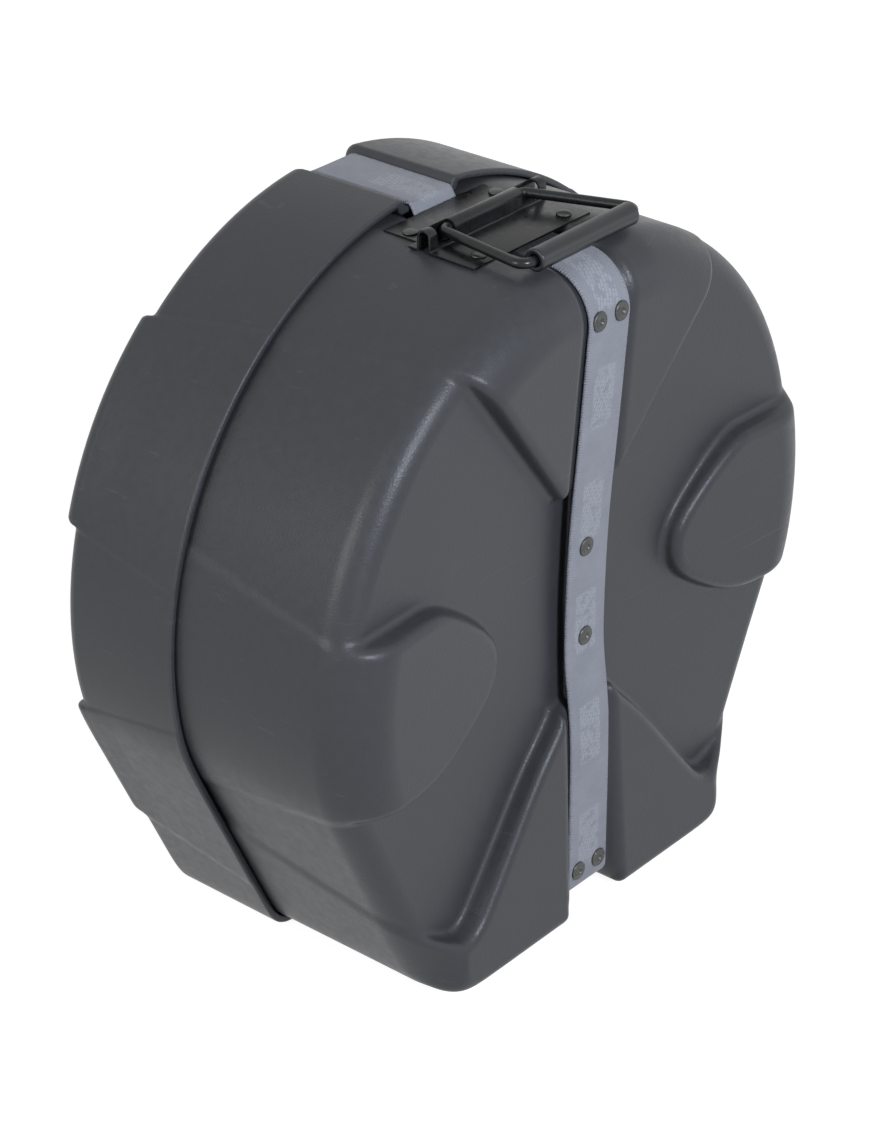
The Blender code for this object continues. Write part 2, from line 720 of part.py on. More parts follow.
def channel_cutter(name, path, outside, wall):
    """A channel whose walls lean outward, cut down to a floor moved inward by a wall."""
    lean = CHANNEL_FLARE * math.tan(CHANNEL_DRAFT)
    half = CHANNEL_HALF + wall
    rings = []
    for x, rise in ((-half - lean, CHANNEL_FLARE), (-half, 0.0), (half, 0.0), (half + lean, CHANNEL_FLARE)):
        corners = offset_path(path, rise - wall) + outside
        rings.append([Vector((x, y_of(depth), height)) for depth, height in corners])
    return loft(name, rings, guide=True)


def base_channel(name, wall):
    """All that lies outside the base's channel floor, as a cutter."""
    far_depth = BASE_RIM_DEPTH + CUT_REACH
    path = [(far_depth, BASE_CHANNEL_TOP)] + base_path() + [(far_depth, BASE_CHANNEL_BOTTOM)]
    outside = [
        (far_depth, -CUT_REACH), (-CUT_REACH, -CUT_REACH),
        (-CUT_REACH, 2 * LID_RADIUS + CUT_REACH), (far_depth, 2 * LID_RADIUS + CUT_REACH),
    ]
    return channel_cutter(name, path, outside, wall)


def lid_channel(name, wall, spread=0.0):
    """All that lies outside the lid's channel floor, as a cutter."""
    front_depth = LID_RIM_DEPTH - CUT_REACH
    far_depth = CASE_DEPTH + CUT_REACH
    outside = [
        (front_depth, 2 * LID_RADIUS + CUT_REACH), (far_depth, 2 * LID_RADIUS + CUT_REACH),
        (far_depth, -CUT_REACH), (front_depth, -CUT_REACH),
    ]
    return channel_cutter(name, lid_path(front_depth), outside, wall + spread)


def buckle_pocket(name, wall, spread=0.0):
    """The recess for the buckle in the lid's back, as a cutter."""
    grow = wall + spread
    floor = LID_BACK_DEPTH - LID_CHANNEL_DEPTH - POCKET_EXTRA_DEPTH
    low = (-POCKET_HALF_WIDTH - grow, floor - grow, POCKET_BOTTOM - grow)
    high = (POCKET_HALF_WIDTH + grow, CASE_DEPTH + CUT_REACH, POCKET_TOP + grow)
    return box(name, low, high, guide=True)


def bottom_slot(name, wall):
    """The wider notch under the base's rear, where the lid's channel passes."""
    low = (-SLOT_HALF - wall, SLOT_FRONT_DEPTH - wall, -CUT_REACH - GAP)
    high = (SLOT_HALF + wall, BASE_RIM_DEPTH + CUT_REACH + GAP, BASE_CHANNEL_BOTTOM + wall + GAP)
    return box(name, low, high, guide=True)


def base_cavity():
    """The hollow of the base, open at the rear."""
    cavity = sunk_solid("base_cavity", WALL, BASE_RIM_DEPTH + CUT_REACH, guide=True)
    join(cavity, *[pad_solid(kind, WALL) for kind in ("top", "ears", "feet")])
    settle(cavity)
    cut(cavity, base_channel("base_channel_inner", WALL), bottom_slot("slot_inner", WALL))
    return settle(cavity)


def boss(name, side):
    """One moulded boss under the base, a little narrower at its foot."""
    taper = BOSS_TAPER
    low_x, high_x = sorted((side * BOSS_INNER_X, side * BOSS_OUTER_X))
    rings = []
    for height, shrink in ((0.0, taper), (BASE_INSET + WALL / 2, 0.0)):
        rings.append([
            Vector((x, y_of(depth), height))
            for x, depth in (
                (low_x + shrink, BOSS_FRONT_DEPTH + shrink), (high_x - shrink, BOSS_FRONT_DEPTH + shrink),
                (high_x - shrink, BOSS_BACK_DEPTH - shrink), (low_x + shrink, BOSS_BACK_DEPTH - shrink),
            )
        ])
    return loft(name, rings, guide=True)


def add_base_shell(holes):
    """The front shell, with its sectors, channel, spine, hollow and rivet holes."""
    shell = sunk_solid("base_shell", 0.0, BASE_RIM_DEPTH, guide=False)
    spine_low = (-SPINE_WIDTH / 2, CHANNEL_BOTTOM_DEPTH, SPINE_BOTTOM)
    spine_high = (SPINE_WIDTH / 2, SUNK_CENTRE_DEPTH + WALL / 2, SPINE_TOP)
    additions = [pad_solid(kind, 0.0) for kind in ("top", "ears", "feet")]
    additions += [boss("boss_left", -1.0), boss("boss_right", 1.0)]
    join(shell, box("spine", spine_low, spine_high, guide=True), *additions)
    settle(shell)
    channel = base_channel("base_channel_outer", 0.0)
    cut(shell, channel, bottom_slot("slot_outer", 0.0), base_cavity(), *holes)
    settle(shell)
    return paint(shell, BLACK_POLYETHYLENE)


def lid_draft_inset(depth):
    """How far the lid's side has drawn in at a depth, measured from its rim."""
    return (depth - LID_RIM_DEPTH) * math.tan(LID_DRAFT)


def lid_solid(name, wall, front_depth, guide):
    """The lid's body at its general level, thinner all round by a wall."""
    outline = Outline(wall)
    side_depth = LID_BACK_DEPTH - LID_EDGE_ROUND
    round_size = LID_EDGE_ROUND - wall
    rings = [outline.ring(flat(front_depth), lid_draft_inset(front_depth), 0.0)]
    insets = (lid_draft_inset(side_depth), 0.0)
    level = flat(LID_BACK_DEPTH - wall)
    rings += rounded_face(outline, level, side_depth, round_size, round_size, insets)
    return loft(name, rings, guide=guide)


def lid_pads():
    """The raised fields of the lid's back, the reverse of the base's raised sectors."""
    outline = Outline(0.0)
    side_depth = CASE_DEPTH - LID_EDGE_ROUND
    root_depth = side_depth - 2 * LID_EDGE_ROUND
    rings = [outline.ring(flat(root_depth), lid_draft_inset(root_depth) + PAD_SKIN, PAD_SKIN)]
    insets = (lid_draft_inset(side_depth) - LID_PAD_BULGE, PAD_SKIN)
    rings += rounded_face(outline, flat(CASE_DEPTH), side_depth, LID_EDGE_ROUND, LID_EDGE_ROUND, insets)
    pads = loft("lid_pads", rings, guide=True)
    return cut(pads, *[back_prisms(kind) for kind in ("top", "ears", "feet")])


def lid_cavity():
    """The hollow of the lid, open at its rim."""
    cavity = lid_solid("lid_cavity", WALL, LID_RIM_DEPTH - CUT_REACH / 2, guide=True)
    cut(cavity, lid_channel("lid_channel_inner", WALL), buckle_pocket("pocket_inner", WALL))
    return settle(cavity)


def add_lid_shell():
    """The rear shell that slides over the base."""
    shell = lid_solid("lid_shell", 0.0, LID_RIM_DEPTH, guide=False)
    join(shell, lid_pads())
    settle(shell)
    cut(shell, lid_channel("lid_channel_outer", 0.0), buckle_pocket("pocket_outer", 0.0), lid_cavity())
    settle(shell)
    return paint(shell, BLACK_POLYETHYLENE)


def strap(name, path, half_width=STRAP_WIDTH / 2):
    """A flat web whose inner face follows a path, lying to the right of its travel."""
    outer = offset_path(path, STRAP_THICKNESS)
    points = [tuple(point) for point in path] + [tuple(point) for point in reversed(outer)]
    return paint(extruded(name, points, half_width), WEBBING)


def front_strap_path():
    """Inner face of the web that is riveted to the base."""
    start = (STRAP_SPLIT_DEPTH, BASE_CHANNEL_TOP)
    level_end = (STRAP_SPLIT_DEPTH / 2, BASE_CHANNEL_BOTTOM)
    path = offset_path([start] + base_path() + [level_end], GAP)
    return path + [Vector((STRAP_RAMP_DEPTH, LID_CHANNEL_BOTTOM - GAP))]


def add_straps(rivet_holes):
    """The front web and the two rear webs that meet at the buckle."""
    front = strap("strap_front", front_strap_path())
    cut(front, *rivet_holes)
    loop = lid_path(LID_RIM_DEPTH)
    half = len(loop) // 2
    start_depth = STRAP_RAMP_DEPTH + GAP
    lower = [(start_depth, LID_CHANNEL_BOTTOM)] + loop[1:half]
    web_depth = lower[-1][0]
    lower.append((web_depth, PLUG_BOTTOM + WEB_SOCKET_LENGTH))
    upper = [(web_depth, SOCKET_TOP - WEB_SOCKET_LENGTH)] + loop[half:-1]
    top_height = loop[-1][1]
    upper.append((LID_RIM_DEPTH - GAP, top_height))
    top_path = offset_path(upper, GAP)
    top_path.append(Vector((STRAP_EXIT_DEPTH, BASE_CHANNEL_TOP + GAP + STRAP_EXIT_RISE)))
    top_path.append(Vector((STRAP_RAMP_DEPTH, BASE_CHANNEL_TOP + GAP)))
    top_path.append(Vector((STRAP_SPLIT_DEPTH + GAP, BASE_CHANNEL_TOP + GAP)))
    return [
        front,
        strap("strap_rear_lower", offset_path(lower, GAP)),
        strap("strap_rear_upper", top_path),
    ]


def strap_frame(height):
    """Point on the base's channel floor at a height, and the outward direction there."""
    path = [Vector(point) for point in base_path()]
    for upper, lower in zip(path, path[1:]):
        if lower.y <= height <= upper.y:
            share = (upper.y - height) / (upper.y - lower.y)
            spot = upper.lerp(lower, share)
            along = (lower - upper).normalized()
            return spot, Vector((along.y, -along.x))
    raise ValueError(f"no channel floor at height {height}")


def rivet_profile(head_radius, head_height, grip_length, dimple_depth=0.0):
    """Radius and height down a rivet, whose head sits on height 0."""
    edge = head_height / 3
    tail = -grip_length
    crown = [(0.0, head_height)]
    if dimple_depth:
        floor = head_height - dimple_depth
        crown = [(0.0, floor), (RIVET_DIMPLE_RADIUS, floor), (RIVET_DIMPLE_RADIUS, head_height)]
    return crown + [
        (head_radius - 2 * edge, head_height), (head_radius, edge), (head_radius, 0.0),
        (RIVET_SHANK_RADIUS, 0.0), (RIVET_SHANK_RADIUS, tail), (RIVET_TAIL_RADIUS, tail),
        (RIVET_TAIL_RADIUS, tail - RIVET_TAIL_HEIGHT), (0.0, tail - RIVET_TAIL_HEIGHT),
    ]


def set_along(obj, spot, outward):
    """Put a turned piece at a point with its axis along a direction."""
    obj.location = spot
    obj.rotation_mode = "QUATERNION"
    obj.rotation_quaternion = outward.to_track_quat("Z", "Y")


def add_strap_rivets():
    """Rivets that hold the front web, with a washer behind each; returns the cutters."""
    holes = []
    seats = []
    for place, (x, height) in RIVET_PLACES.items():
        spot, outward = strap_frame(height)
        outward = Vector((0.0, outward.x, outward.y))
        floor = Vector((x, y_of(spot.x), spot.y))
        wall = WALL
        if place.startswith("middle"):
            wall = SUNK_CENTRE_DEPTH + WALL - SUNK_DISH_SLOPE * abs(height - AXIS_HEIGHT) - spot.x
        head = floor + outward * (STRAP_THICKNESS + 2 * GAP)
        seat = floor - outward * wall
        grip = STRAP_THICKNESS + 2 * GAP + wall + WASHER_THICKNESS + 2 * GAP
        profile = rivet_profile(RIVET_HEAD_RADIUS, RIVET_HEAD_HEIGHT, grip, RIVET_DIMPLE_DEPTH)
        rivet = turned(f"strap_rivet_{place}", profile)
        set_along(rivet, head, outward)
        paint(rivet, ZINC)
        hole_radius = RIVET_SHANK_RADIUS + HOLE_CLEARANCE
        holes.append(cylinder(f"rivet_hole_{place}", hole_radius, floor, outward, CUT_REACH, guide=True))
        seat_radius = WASHER_RADIUS + SEAT_CLEARANCE
        seat_centre = seat - outward * (WALL / 2)
        seats.append(cylinder(f"rivet_seat_{place}", seat_radius, seat_centre, outward, WALL, guide=True))
        washer_centre = seat - outward * (GAP + WASHER_THICKNESS / 2)
        washer = cylinder(f"rivet_washer_{place}", WASHER_RADIUS, washer_centre, outward, WASHER_THICKNESS)
        cut(washer, holes[-1])
        paint(washer, BRIGHT_ZINC)
    return holes, seats


def add_handle_plate(holes):
    """The plate that holds the bail: a sheet with an arch over the wire, and windows."""
    bend = arc((BARREL_DEPTH, BARREL_HEIGHT), ARCH_RADIUS, 0.0, 180.0, ARCH_STEPS)
    under = PLATEAU_HEIGHT + GAP
    path = [(PLATE_REAR_DEPTH, under), (BARREL_DEPTH + ARCH_RADIUS, under)] + bend
    path += [(BARREL_DEPTH - ARCH_RADIUS, under), (PLATE_FRONT_DEPTH, under)]
    upper = offset_path(path, PLATE_THICKNESS)
    points = path + [tuple(point) for point in reversed(upper)]
    plate = extruded("handle_plate", points, PLATE_HALF_WIDTH, middle=PLATE_CENTRE_X)
    cutters = list(holes)
    corner_inner = PLATE_HALF_WIDTH - PLATE_CORNER_WIDTH
    for side, word in ((-1.0, "left"), (1.0, "right")):
        inner, outer = sorted((side * WINDOW_INNER_X, side * WINDOW_OUTER_X))
        low = (PLATE_CENTRE_X + inner, WINDOW_FRONT_DEPTH, WINDOW_BOTTOM)
        high = (PLATE_CENTRE_X + outer, WINDOW_BACK_DEPTH, WINDOW_TOP)
        cutters.append(box(f"plate_window_{word}", low, high, guide=True))
        inner, outer = sorted((side * corner_inner, side * (PLATE_HALF_WIDTH + WALL)))
        low = (PLATE_CENTRE_X + inner, PLATE_CORNER_DEPTH, under - WALL)
        high = (PLATE_CENTRE_X + outer, PLATE_REAR_DEPTH + WALL, WINDOW_BOTTOM)
        cutters.append(box(f"plate_corner_{word}", low, high, guide=True))
    cut(plate, *cutters)
    paint(plate, STEEL_BLACK)


def filleted(corners, radii, steps):
    """A closed polygon with each corner swept by an arc."""
    points = []
    count = len(corners)
    for index, radius in enumerate(radii):
        here = Vector(corners[index])
        before = (Vector(corners[index - 1]) - here).normalized()
        after = (Vector(corners[(index + 1) % count]) - here).normalized()
        half_angle = before.angle(after) / 2
        middle = here + (before + after).normalized() * (radius / math.sin(half_angle))
        start = here + before * (radius / math.tan(half_angle)) - middle
        stop = here + after * (radius / math.tan(half_angle)) - middle
        for step in range(steps + 1):
            spoke = start.lerp(stop, step / steps).normalized() * radius
            points.append(middle + spoke)
    return points


def add_bail():
    """The wire bail, which turns in the plate's arch, and its rubber grip."""
    forward = GRIP_DEPTH - BARREL_DEPTH
    corners = [
        (BAIL_BARREL_HALF, 0.0), (-BAIL_BARREL_HALF, 0.0),
        (GRIP_SKEW - BAIL_GRIP_HALF, forward), (GRIP_SKEW + BAIL_GRIP_HALF, forward),
    ]
    radii = (BAIL_BARREL_BEND, BAIL_BARREL_BEND, BAIL_GRIP_BEND, BAIL_GRIP_BEND)
    points = filleted(corners, radii, 4)
    curve = bpy.data.curves.new("handle_bail", "CURVE")
    curve.dimensions = "3D"
    curve.bevel_depth = WIRE_RADIUS
    curve.bevel_resolution = 2
    curve.use_fill_caps = True
    spline = curve.splines.new("POLY")
    spline.points.add(len(points) - 1)
    for point, (x, y) in zip(spline.points, points):
        point.co = (x, y, 0.0, 1.0)
    spline.use_cyclic_u = True
    bail = link(bpy.data.objects.new("handle_bail", curve))
    bail.location = (PLATE_CENTRE_X, y_of(BARREL_DEPTH), BARREL_HEIGHT)
    paint(bail, STEEL_BLACK)

    bore = WIRE_RADIUS + GAP
    end = GRIP_HALF_LENGTH
    profile = [
        (bore, end), (GRIP_RADIUS - GRIP_EDGE, end), (GRIP_RADIUS, end - GRIP_EDGE),
        (GRIP_RADIUS, GRIP_EDGE - end), (GRIP_RADIUS - GRIP_EDGE, -end), (bore, -end),
    ]
    grip = turned("handle_grip", profile, closed=True)
    grip.parent = bail
    grip.location = (GRIP_SKEW, forward, 0.0)
    grip.rotation_euler = (0.0, math.pi / 2, 0.0)
    paint(grip, RUBBER)


def add_handle_rivets():
    """Rivets through the plate and the base's top, and a backing plate on each side."""
    top = PLATEAU_HEIGHT + GAP + PLATE_THICKNESS
    under = PLATEAU_HEIGHT - WALL
    backing_top = under - 3 * GAP
    backing_low = backing_top - PLATE_THICKNESS
    holes = []
    for place, (x, depth) in HANDLE_RIVET_PLACES.items():
        head = Vector((x, y_of(depth), top + GAP))
        grip = top + GAP - backing_low + GAP
        profile = rivet_profile(HANDLE_RIVET_HEAD_RADIUS, HANDLE_RIVET_HEIGHT, grip)
        rivet = turned(f"handle_rivet_{place}", profile)
        rivet.location = head
        paint(rivet, ZINC)
        hole_radius = RIVET_SHANK_RADIUS + HOLE_CLEARANCE
        upward = (0.0, 0.0, 1.0)
        holes.append(cylinder(f"handle_hole_{place}", hole_radius, head, upward, CUT_REACH, guide=True))
    depths = [depth for _, depth in HANDLE_RIVET_PLACES.values()]
    for side, word in ((-1.0, "left"), (1.0, "right")):
        near_x = BLOCK_HALF + BACKING_SETBACK
        inner, outer = sorted((side * near_x, side * (near_x + BACKING_WIDTH)))
        low = (inner, min(depths) - BACKING_MARGIN, backing_low)
        high = (outer, max(depths) + BACKING_MARGIN, backing_top)
        backing = box(f"handle_backing_plate_{word}", low, high)
        cut(backing, *[hole for hole in holes if hole.name.endswith(word)])
        paint(backing, BRIGHT_ZINC)
    return holes


def add_buckle():
    """The side-release buckle: a socket, a plug and its two prongs."""
    floor = LID_BACK_DEPTH - LID_CHANNEL_DEPTH - POCKET_EXTRA_DEPTH + GAP
    back = floor + BUCKLE_THICKNESS
    web = LID_BACK_DEPTH - LID_CHANNEL_DEPTH + GAP
    web_low = web - GAP
    web_high = web + STRAP_THICKNESS + GAP
    web_half = STRAP_WIDTH / 2 + GAP
    middle = (floor + back) / 2
    room = SOCKET_ROOM_THICKNESS / 2
    half = BUCKLE_HALF_WIDTH

    socket = box("buckle_socket", (-half, floor, SOCKET_BOTTOM), (half, back, SOCKET_TOP))
    room_low = (-SOCKET_ROOM_HALF_WIDTH, middle - room, SOCKET_BOTTOM - WALL)
    room_high = (SOCKET_ROOM_HALF_WIDTH, middle + room, SOCKET_ROOM_TOP)
    window_low = (-half - WALL, middle - room, LATCH_WINDOW_BOTTOM)
    window_high = (half + WALL, middle + room, LATCH_WINDOW_TOP)
    web_slot_low = (-web_half, web_low, SOCKET_TOP - WEB_SOCKET_LENGTH - GAP)
    web_slot_high = (web_half, web_high, SOCKET_TOP + WALL)
    cut(
        socket,
        box("socket_room", room_low, room_high, guide=True),
        box("latch_windows", window_low, window_high, guide=True),
        box("socket_web_slot", web_slot_low, web_slot_high, guide=True),
    )
    paint(socket, ACETAL)

    plug = box("buckle_plug", (-half, floor, PLUG_BOTTOM), (half, back, PLUG_TOP))
    thick = TONGUE_THICKNESS / 2
    tongue_low = (-TONGUE_HALF_WIDTH, middle - thick, PLUG_TOP - WALL)
    join(plug, box("tongue", tongue_low, (TONGUE_HALF_WIDTH, middle + thick, TONGUE_TOP), guide=True))
    web_slot_low = (-web_half, web_low, PLUG_BOTTOM - WALL)
    web_slot_high = (web_half, web_high, PLUG_BOTTOM + WEB_SOCKET_LENGTH + GAP)
    cut(plug, box("plug_web_slot", web_slot_low, web_slot_high, guide=True))
    paint(plug, ACETAL)

    nose = PRONG_HEAD_X - PRONG_OUTER_X
    outline = [
        (PRONG_INNER_X, PLUG_TOP + GAP), (PRONG_OUTER_X, PLUG_TOP + GAP),
        (PRONG_OUTER_X, PRONG_HEAD_BOTTOM), (PRONG_HEAD_X, PRONG_HEAD_BOTTOM),
        (PRONG_HEAD_X, PRONG_TOP - nose), (PRONG_OUTER_X, PRONG_TOP), (PRONG_INNER_X, PRONG_TOP),
    ]
    for points, word in ((mirrored(outline), "left"), (outline, "right")):
        prong = extruded(f"buckle_prong_{word}", points, thick, axis="Y", middle=middle)
        paint(prong, ACETAL)


def add_keeper():
    """The loop that holds the web's loose end flat; it slides along the lower rear web."""
    web = LID_BACK_DEPTH - LID_CHANNEL_DEPTH + GAP
    inner_half = STRAP_WIDTH / 2 + GAP
    outer_half = inner_half + KEEPER_WALL
    low_height = KEEPER_HEIGHT - KEEPER_LENGTH / 2
    high_height = KEEPER_HEIGHT + KEEPER_LENGTH / 2
    low_depth = web - GAP
    high_depth = web + STRAP_THICKNESS + GAP
    low = (-outer_half, low_depth - KEEPER_WALL, low_height)
    keeper = box("strap_keeper", low, (outer_half, high_depth + KEEPER_WALL, high_height))
    hole_low = (-inner_half, low_depth, low_height - KEEPER_WALL)
    hole_high = (inner_half, high_depth, high_height + KEEPER_WALL)
    cut(keeper, box("keeper_hole", hole_low, hole_high, guide=True))
    paint(keeper, ACETAL)


def add_base_foam():
    """The foam disc that the drum's head rests on, with room for the rivets' tails."""
    outline = Outline(BASE_INSET + WALL + FOAM_DISC_INSET, PLATEAU_HEIGHT - AXIS_HEIGHT - WALL - FOAM_DISC_INSET)
    near = SUNK_CENTRE_DEPTH + WALL + 2 * GAP
    far = near + BASE_FOAM_THICKNESS
    foam = loft("base_foam_disc", [outline.ring(flat(near)), outline.ring(flat(far))])
    backward = (0.0, 1.0, 0.0)
    holes = []
    for place in ("middle_upper", "middle_lower"):
        x, height = RIVET_PLACES[place]
        centre = (x, y_of((near + far) / 2), height)
        name = f"foam_hole_{place}"
        holes.append(cylinder(name, FOAM_RIVET_HOLE, centre, backward, CUT_REACH, guide=True))
    cut(foam, *holes)
    paint(foam, FOAM)


def add_lid_foam():
    """The foam disc inside the lid, cut away for the channel and the buckle pocket."""
    outline = Outline(WALL + LID_FOAM_INSET)
    near = BASE_RIM_DEPTH + GAP
    far = LID_BACK_DEPTH - WALL - GAP
    side_depth = LID_BACK_DEPTH - LID_EDGE_ROUND
    round_size = LID_EDGE_ROUND - WALL
    rings = []
    for depth, shrink in ((near, 0.0), (side_depth, 0.0), (far, round_size)):
        rings.append(outline.ring(flat(depth), lid_draft_inset(side_depth) + shrink, shrink))
    foam = loft("lid_foam_disc", rings)
    cut(foam, lid_channel("foam_channel", WALL, 3 * GAP), buckle_pocket("foam_pocket", WALL, 3 * GAP))
    paint(foam, FOAM)


def add_cradles():
    """Foam blocks round the inside of the base that hold the drum off the wall."""
    outline = Outline(BASE_INSET + WALL + CRADLE_GAP)
    for word, (start, stop) in CRADLES.items():
        outer = []
        for step in range(CRADLE_STEPS + 1):
            angle = math.radians(start + (stop - start) * step / CRADLE_STEPS)
            reach, _ = outline.reach(angle, 0.0, 0.0)
            outer.append((angle, reach))
        inner = [(angle, DRUM_RADIUS) for angle, _ in reversed(outer)]
        rings = []
        for depth in (CRADLE_FRONT_DEPTH, CRADLE_BACK_DEPTH):
            rings.append([
                Vector((reach * math.cos(angle), y_of(depth), AXIS_HEIGHT + reach * math.sin(angle)))
                for angle, reach in outer + inner
            ])
        paint(loft(f"foam_cradle_{word}", rings), FOAM)


def build():
    """Model the whole case."""
    remove_everything()
    strap_holes, washer_seats = add_strap_rivets()
    handle_holes = add_handle_rivets()
    add_base_shell(strap_holes + washer_seats + handle_holes)
    add_lid_shell()
    add_straps(strap_holes)
    add_handle_plate(handle_holes)
    add_bail()
    add_buckle()
    add_keeper()
    add_base_foam()
    add_lid_foam()
    add_cradles()


build()
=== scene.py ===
"""Looks of the drum case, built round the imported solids.

Sizes are in metres, in the solids' frame: X across, Y from front to back, Z up. A depth is
measured from the same plane as in the solids and turned into Y by y_of().
"""

import itertools
import math

import bmesh
import bpy
import numpy as np
from mathutils import Matrix, Vector


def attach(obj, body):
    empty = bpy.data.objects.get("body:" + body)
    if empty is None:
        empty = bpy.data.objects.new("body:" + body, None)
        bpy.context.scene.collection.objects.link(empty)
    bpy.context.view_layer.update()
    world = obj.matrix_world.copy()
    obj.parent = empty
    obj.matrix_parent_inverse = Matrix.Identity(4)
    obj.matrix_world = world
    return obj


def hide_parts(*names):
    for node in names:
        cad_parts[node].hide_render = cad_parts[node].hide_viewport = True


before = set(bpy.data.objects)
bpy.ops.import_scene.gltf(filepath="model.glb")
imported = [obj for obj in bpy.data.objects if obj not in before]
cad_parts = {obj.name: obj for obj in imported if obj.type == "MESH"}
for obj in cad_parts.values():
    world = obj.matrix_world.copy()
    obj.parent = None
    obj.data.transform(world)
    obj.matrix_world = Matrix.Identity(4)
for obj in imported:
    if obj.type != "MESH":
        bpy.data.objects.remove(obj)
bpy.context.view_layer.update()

# Outline and levels, as in the solids
CASE_DEPTH = 0.2422
FRONT_DEPTH = 0.00462
LID_RADIUS = 0.2340
AXIS_HEIGHT = 0.2280
SIDE_LINE_DISTANCE = 0.2312
SIDE_LINE_ANGLE = math.radians(-25.4)
CORNER_SHARPNESS = 38.0
BLEND_SHARPNESS = 150.0
PLATEAU_SHARPNESS = 400.0
WALL = 0.0045
SLEEVE_CLEARANCE = 0.0019
BASE_INSET = WALL + SLEEVE_CLEARANCE
LID_DRAFT = math.radians(0.5)
GAP = 0.0003
LID_RIM_DEPTH = 0.1462
LID_BACK_DEPTH = 0.2357
BASE_RIM_DEPTH = 0.2149
SIDE_START_DEPTH = 0.0418
RAISED_CENTRE_DEPTH = 0.0224
RAISED_DISH_SLOPE = 0.075
SUNK_CENTRE_DEPTH = 0.0301
SUNK_DISH_SLOPE = 0.033
FOOT_CENTRE_DEPTH = 0.0182
FOOT_LEAN_SLOPE = 0.063
RAISED_EDGE_ROUND = 0.0360
SUNK_EDGE_ROUND = 0.0175
FOOT_EDGE_ROUND = 0.0450
FOOT_BOTTOM_ROUND = 0.0080
LID_EDGE_ROUND = 0.0105
FOOT_DROP = 0.0018
PAD_DRAFT = math.radians(10.0)
PAD_LEAN = math.tan(PAD_DRAFT)
PAD_OUTLINE_DEPTH = 0.0260
LID_PAD_BULGE = 0.0013
PLATEAU_HEIGHT = 0.4500

TOP_SECTOR = [(0.0280, 0.3027), (0.1720, 0.4820), (0.1720, 0.6000), (-0.1, 0.6000), (-0.1, 0.3027)]
LID_TOP_SECTOR = [
    (0.0280, 0.3027), (0.1560, 0.4060), (0.3000, 0.4300), (0.3000, 0.6000), (-0.1, 0.6000), (-0.1, 0.3027),
]
FOOT_SECTOR = [
    (-0.1, 0.1582), (0.0240, 0.1582), (0.0314, 0.1477), (0.0562, 0.1231), (0.0854, 0.0857),
    (0.1006, 0.0669), (0.1180, 0.0460), (0.1340, 0.0440), (0.2100, 0.0900), (0.3000, 0.1400),
    (0.3000, -0.1000), (-0.1, -0.1000),
]
EAR_SECTOR = [
    (0.3200, 0.2834), (0.1697, 0.2834), (0.1474, 0.2834), (0.1229, 0.2693), (0.0911, 0.2424),
    (0.0852, 0.2237), (0.0911, 0.2027), (0.1217, 0.1804), (0.1486, 0.1664), (0.1849, 0.1629),
    (0.3200, 0.1664),
]
LID_EAR_SECTOR = [(0.3200, 0.3150)] + EAR_SECTOR[1:-1] + [(0.3200, 0.1780)]

# Strap, channels and what is let into them
STRAP_HALF = 0.0190
STRAP_THICKNESS = 0.0020
CHANNEL_HALF = 0.02125
CHANNEL_DRAFT = math.radians(24.0)
CHANNEL_LEAN = math.tan(CHANNEL_DRAFT)
CHANNEL_FLARE = 0.0110
BASE_CHANNEL_TOP = 0.4455
BASE_CHANNEL_BOTTOM = 0.0175
TOP_BEND_RADIUS = 0.0300
BOTTOM_BEND_RADIUS = 0.0080
FRONT_FLOOR = [
    (0.0106, 0.4155), (0.0163, 0.3350), (0.0214, 0.2760), (0.0228, 0.2140),
    (0.0223, 0.1850), (0.0185, 0.1580), (0.0158, 0.1290), (0.0153, 0.0255),
]
SPINE_HALF = 0.0105
SPINE_TOP = 0.3170
SPINE_BOTTOM = 0.1420
LID_CHANNEL_DEPTH = 0.0070
LID_CHANNEL_BOTTOM = 0.0116
LID_BEND_RADIUS = 0.0090
SLOT_HALF = 0.0315
SLOT_FRONT_DEPTH = 0.1402
POCKET_HALF_WIDTH = 0.0330
POCKET_BOTTOM = 0.1550
POCKET_TOP = 0.3000
POCKET_EXTRA_DEPTH = 0.0030
POCKET_DEPTH = LID_BACK_DEPTH - LID_CHANNEL_DEPTH - POCKET_EXTRA_DEPTH
BOSS_X = (0.0480, 0.1080)
BOSS_DEPTH = (0.0300, 0.0560)
BOSS_TOP = 0.0400

# How soft the moulding's edges are, and how fine its skin is
CREST_ROUND = 0.0062
VALLEY_ROUND = 0.0042
MOUTH_ROUND = 0.0060
FLOOR_ROUND = 0.0025
RIM_ROUND = 0.0016
LEAST_ROUND = 0.0040
CELL = 0.0017
SKIN_MARGIN = 0.0060
SLOPE_STEP = 0.0002
LEAST_DIVISOR = 0.05
FAR = 0.6


def y_of(depth):
    """World Y of a depth."""
    return depth - (FRONT_DEPTH + CASE_DEPTH) / 2


def smooth_min(first, second, radius):
    """The smaller of two fields, rounded where they meet."""
    share = np.clip(0.5 + 0.5 * (second - first) / radius, 0.0, 1.0)
    return second + (first - second) * share - radius * share * (1.0 - share)


def smooth_max(first, second, radius):
    """The larger of two fields, rounded where they meet."""
    return -smooth_min(-first, -second, radius)


def cut_corners(points, times, closed=True):
    """Round an outline by cutting its corners again and again."""
    for _ in range(times):
        rounded = []
        count = len(points)
        for index in range(count if closed else count - 1):
            ax, ay = points[index]
            bx, by = points[(index + 1) % count]
            rounded.append((0.75 * ax + 0.25 * bx, 0.75 * ay + 0.25 * by))
            rounded.append((0.25 * ax + 0.75 * bx, 0.25 * ay + 0.75 * by))
        if not closed:
            rounded = [points[0]] + rounded + [points[-1]]
        points = rounded
    return points


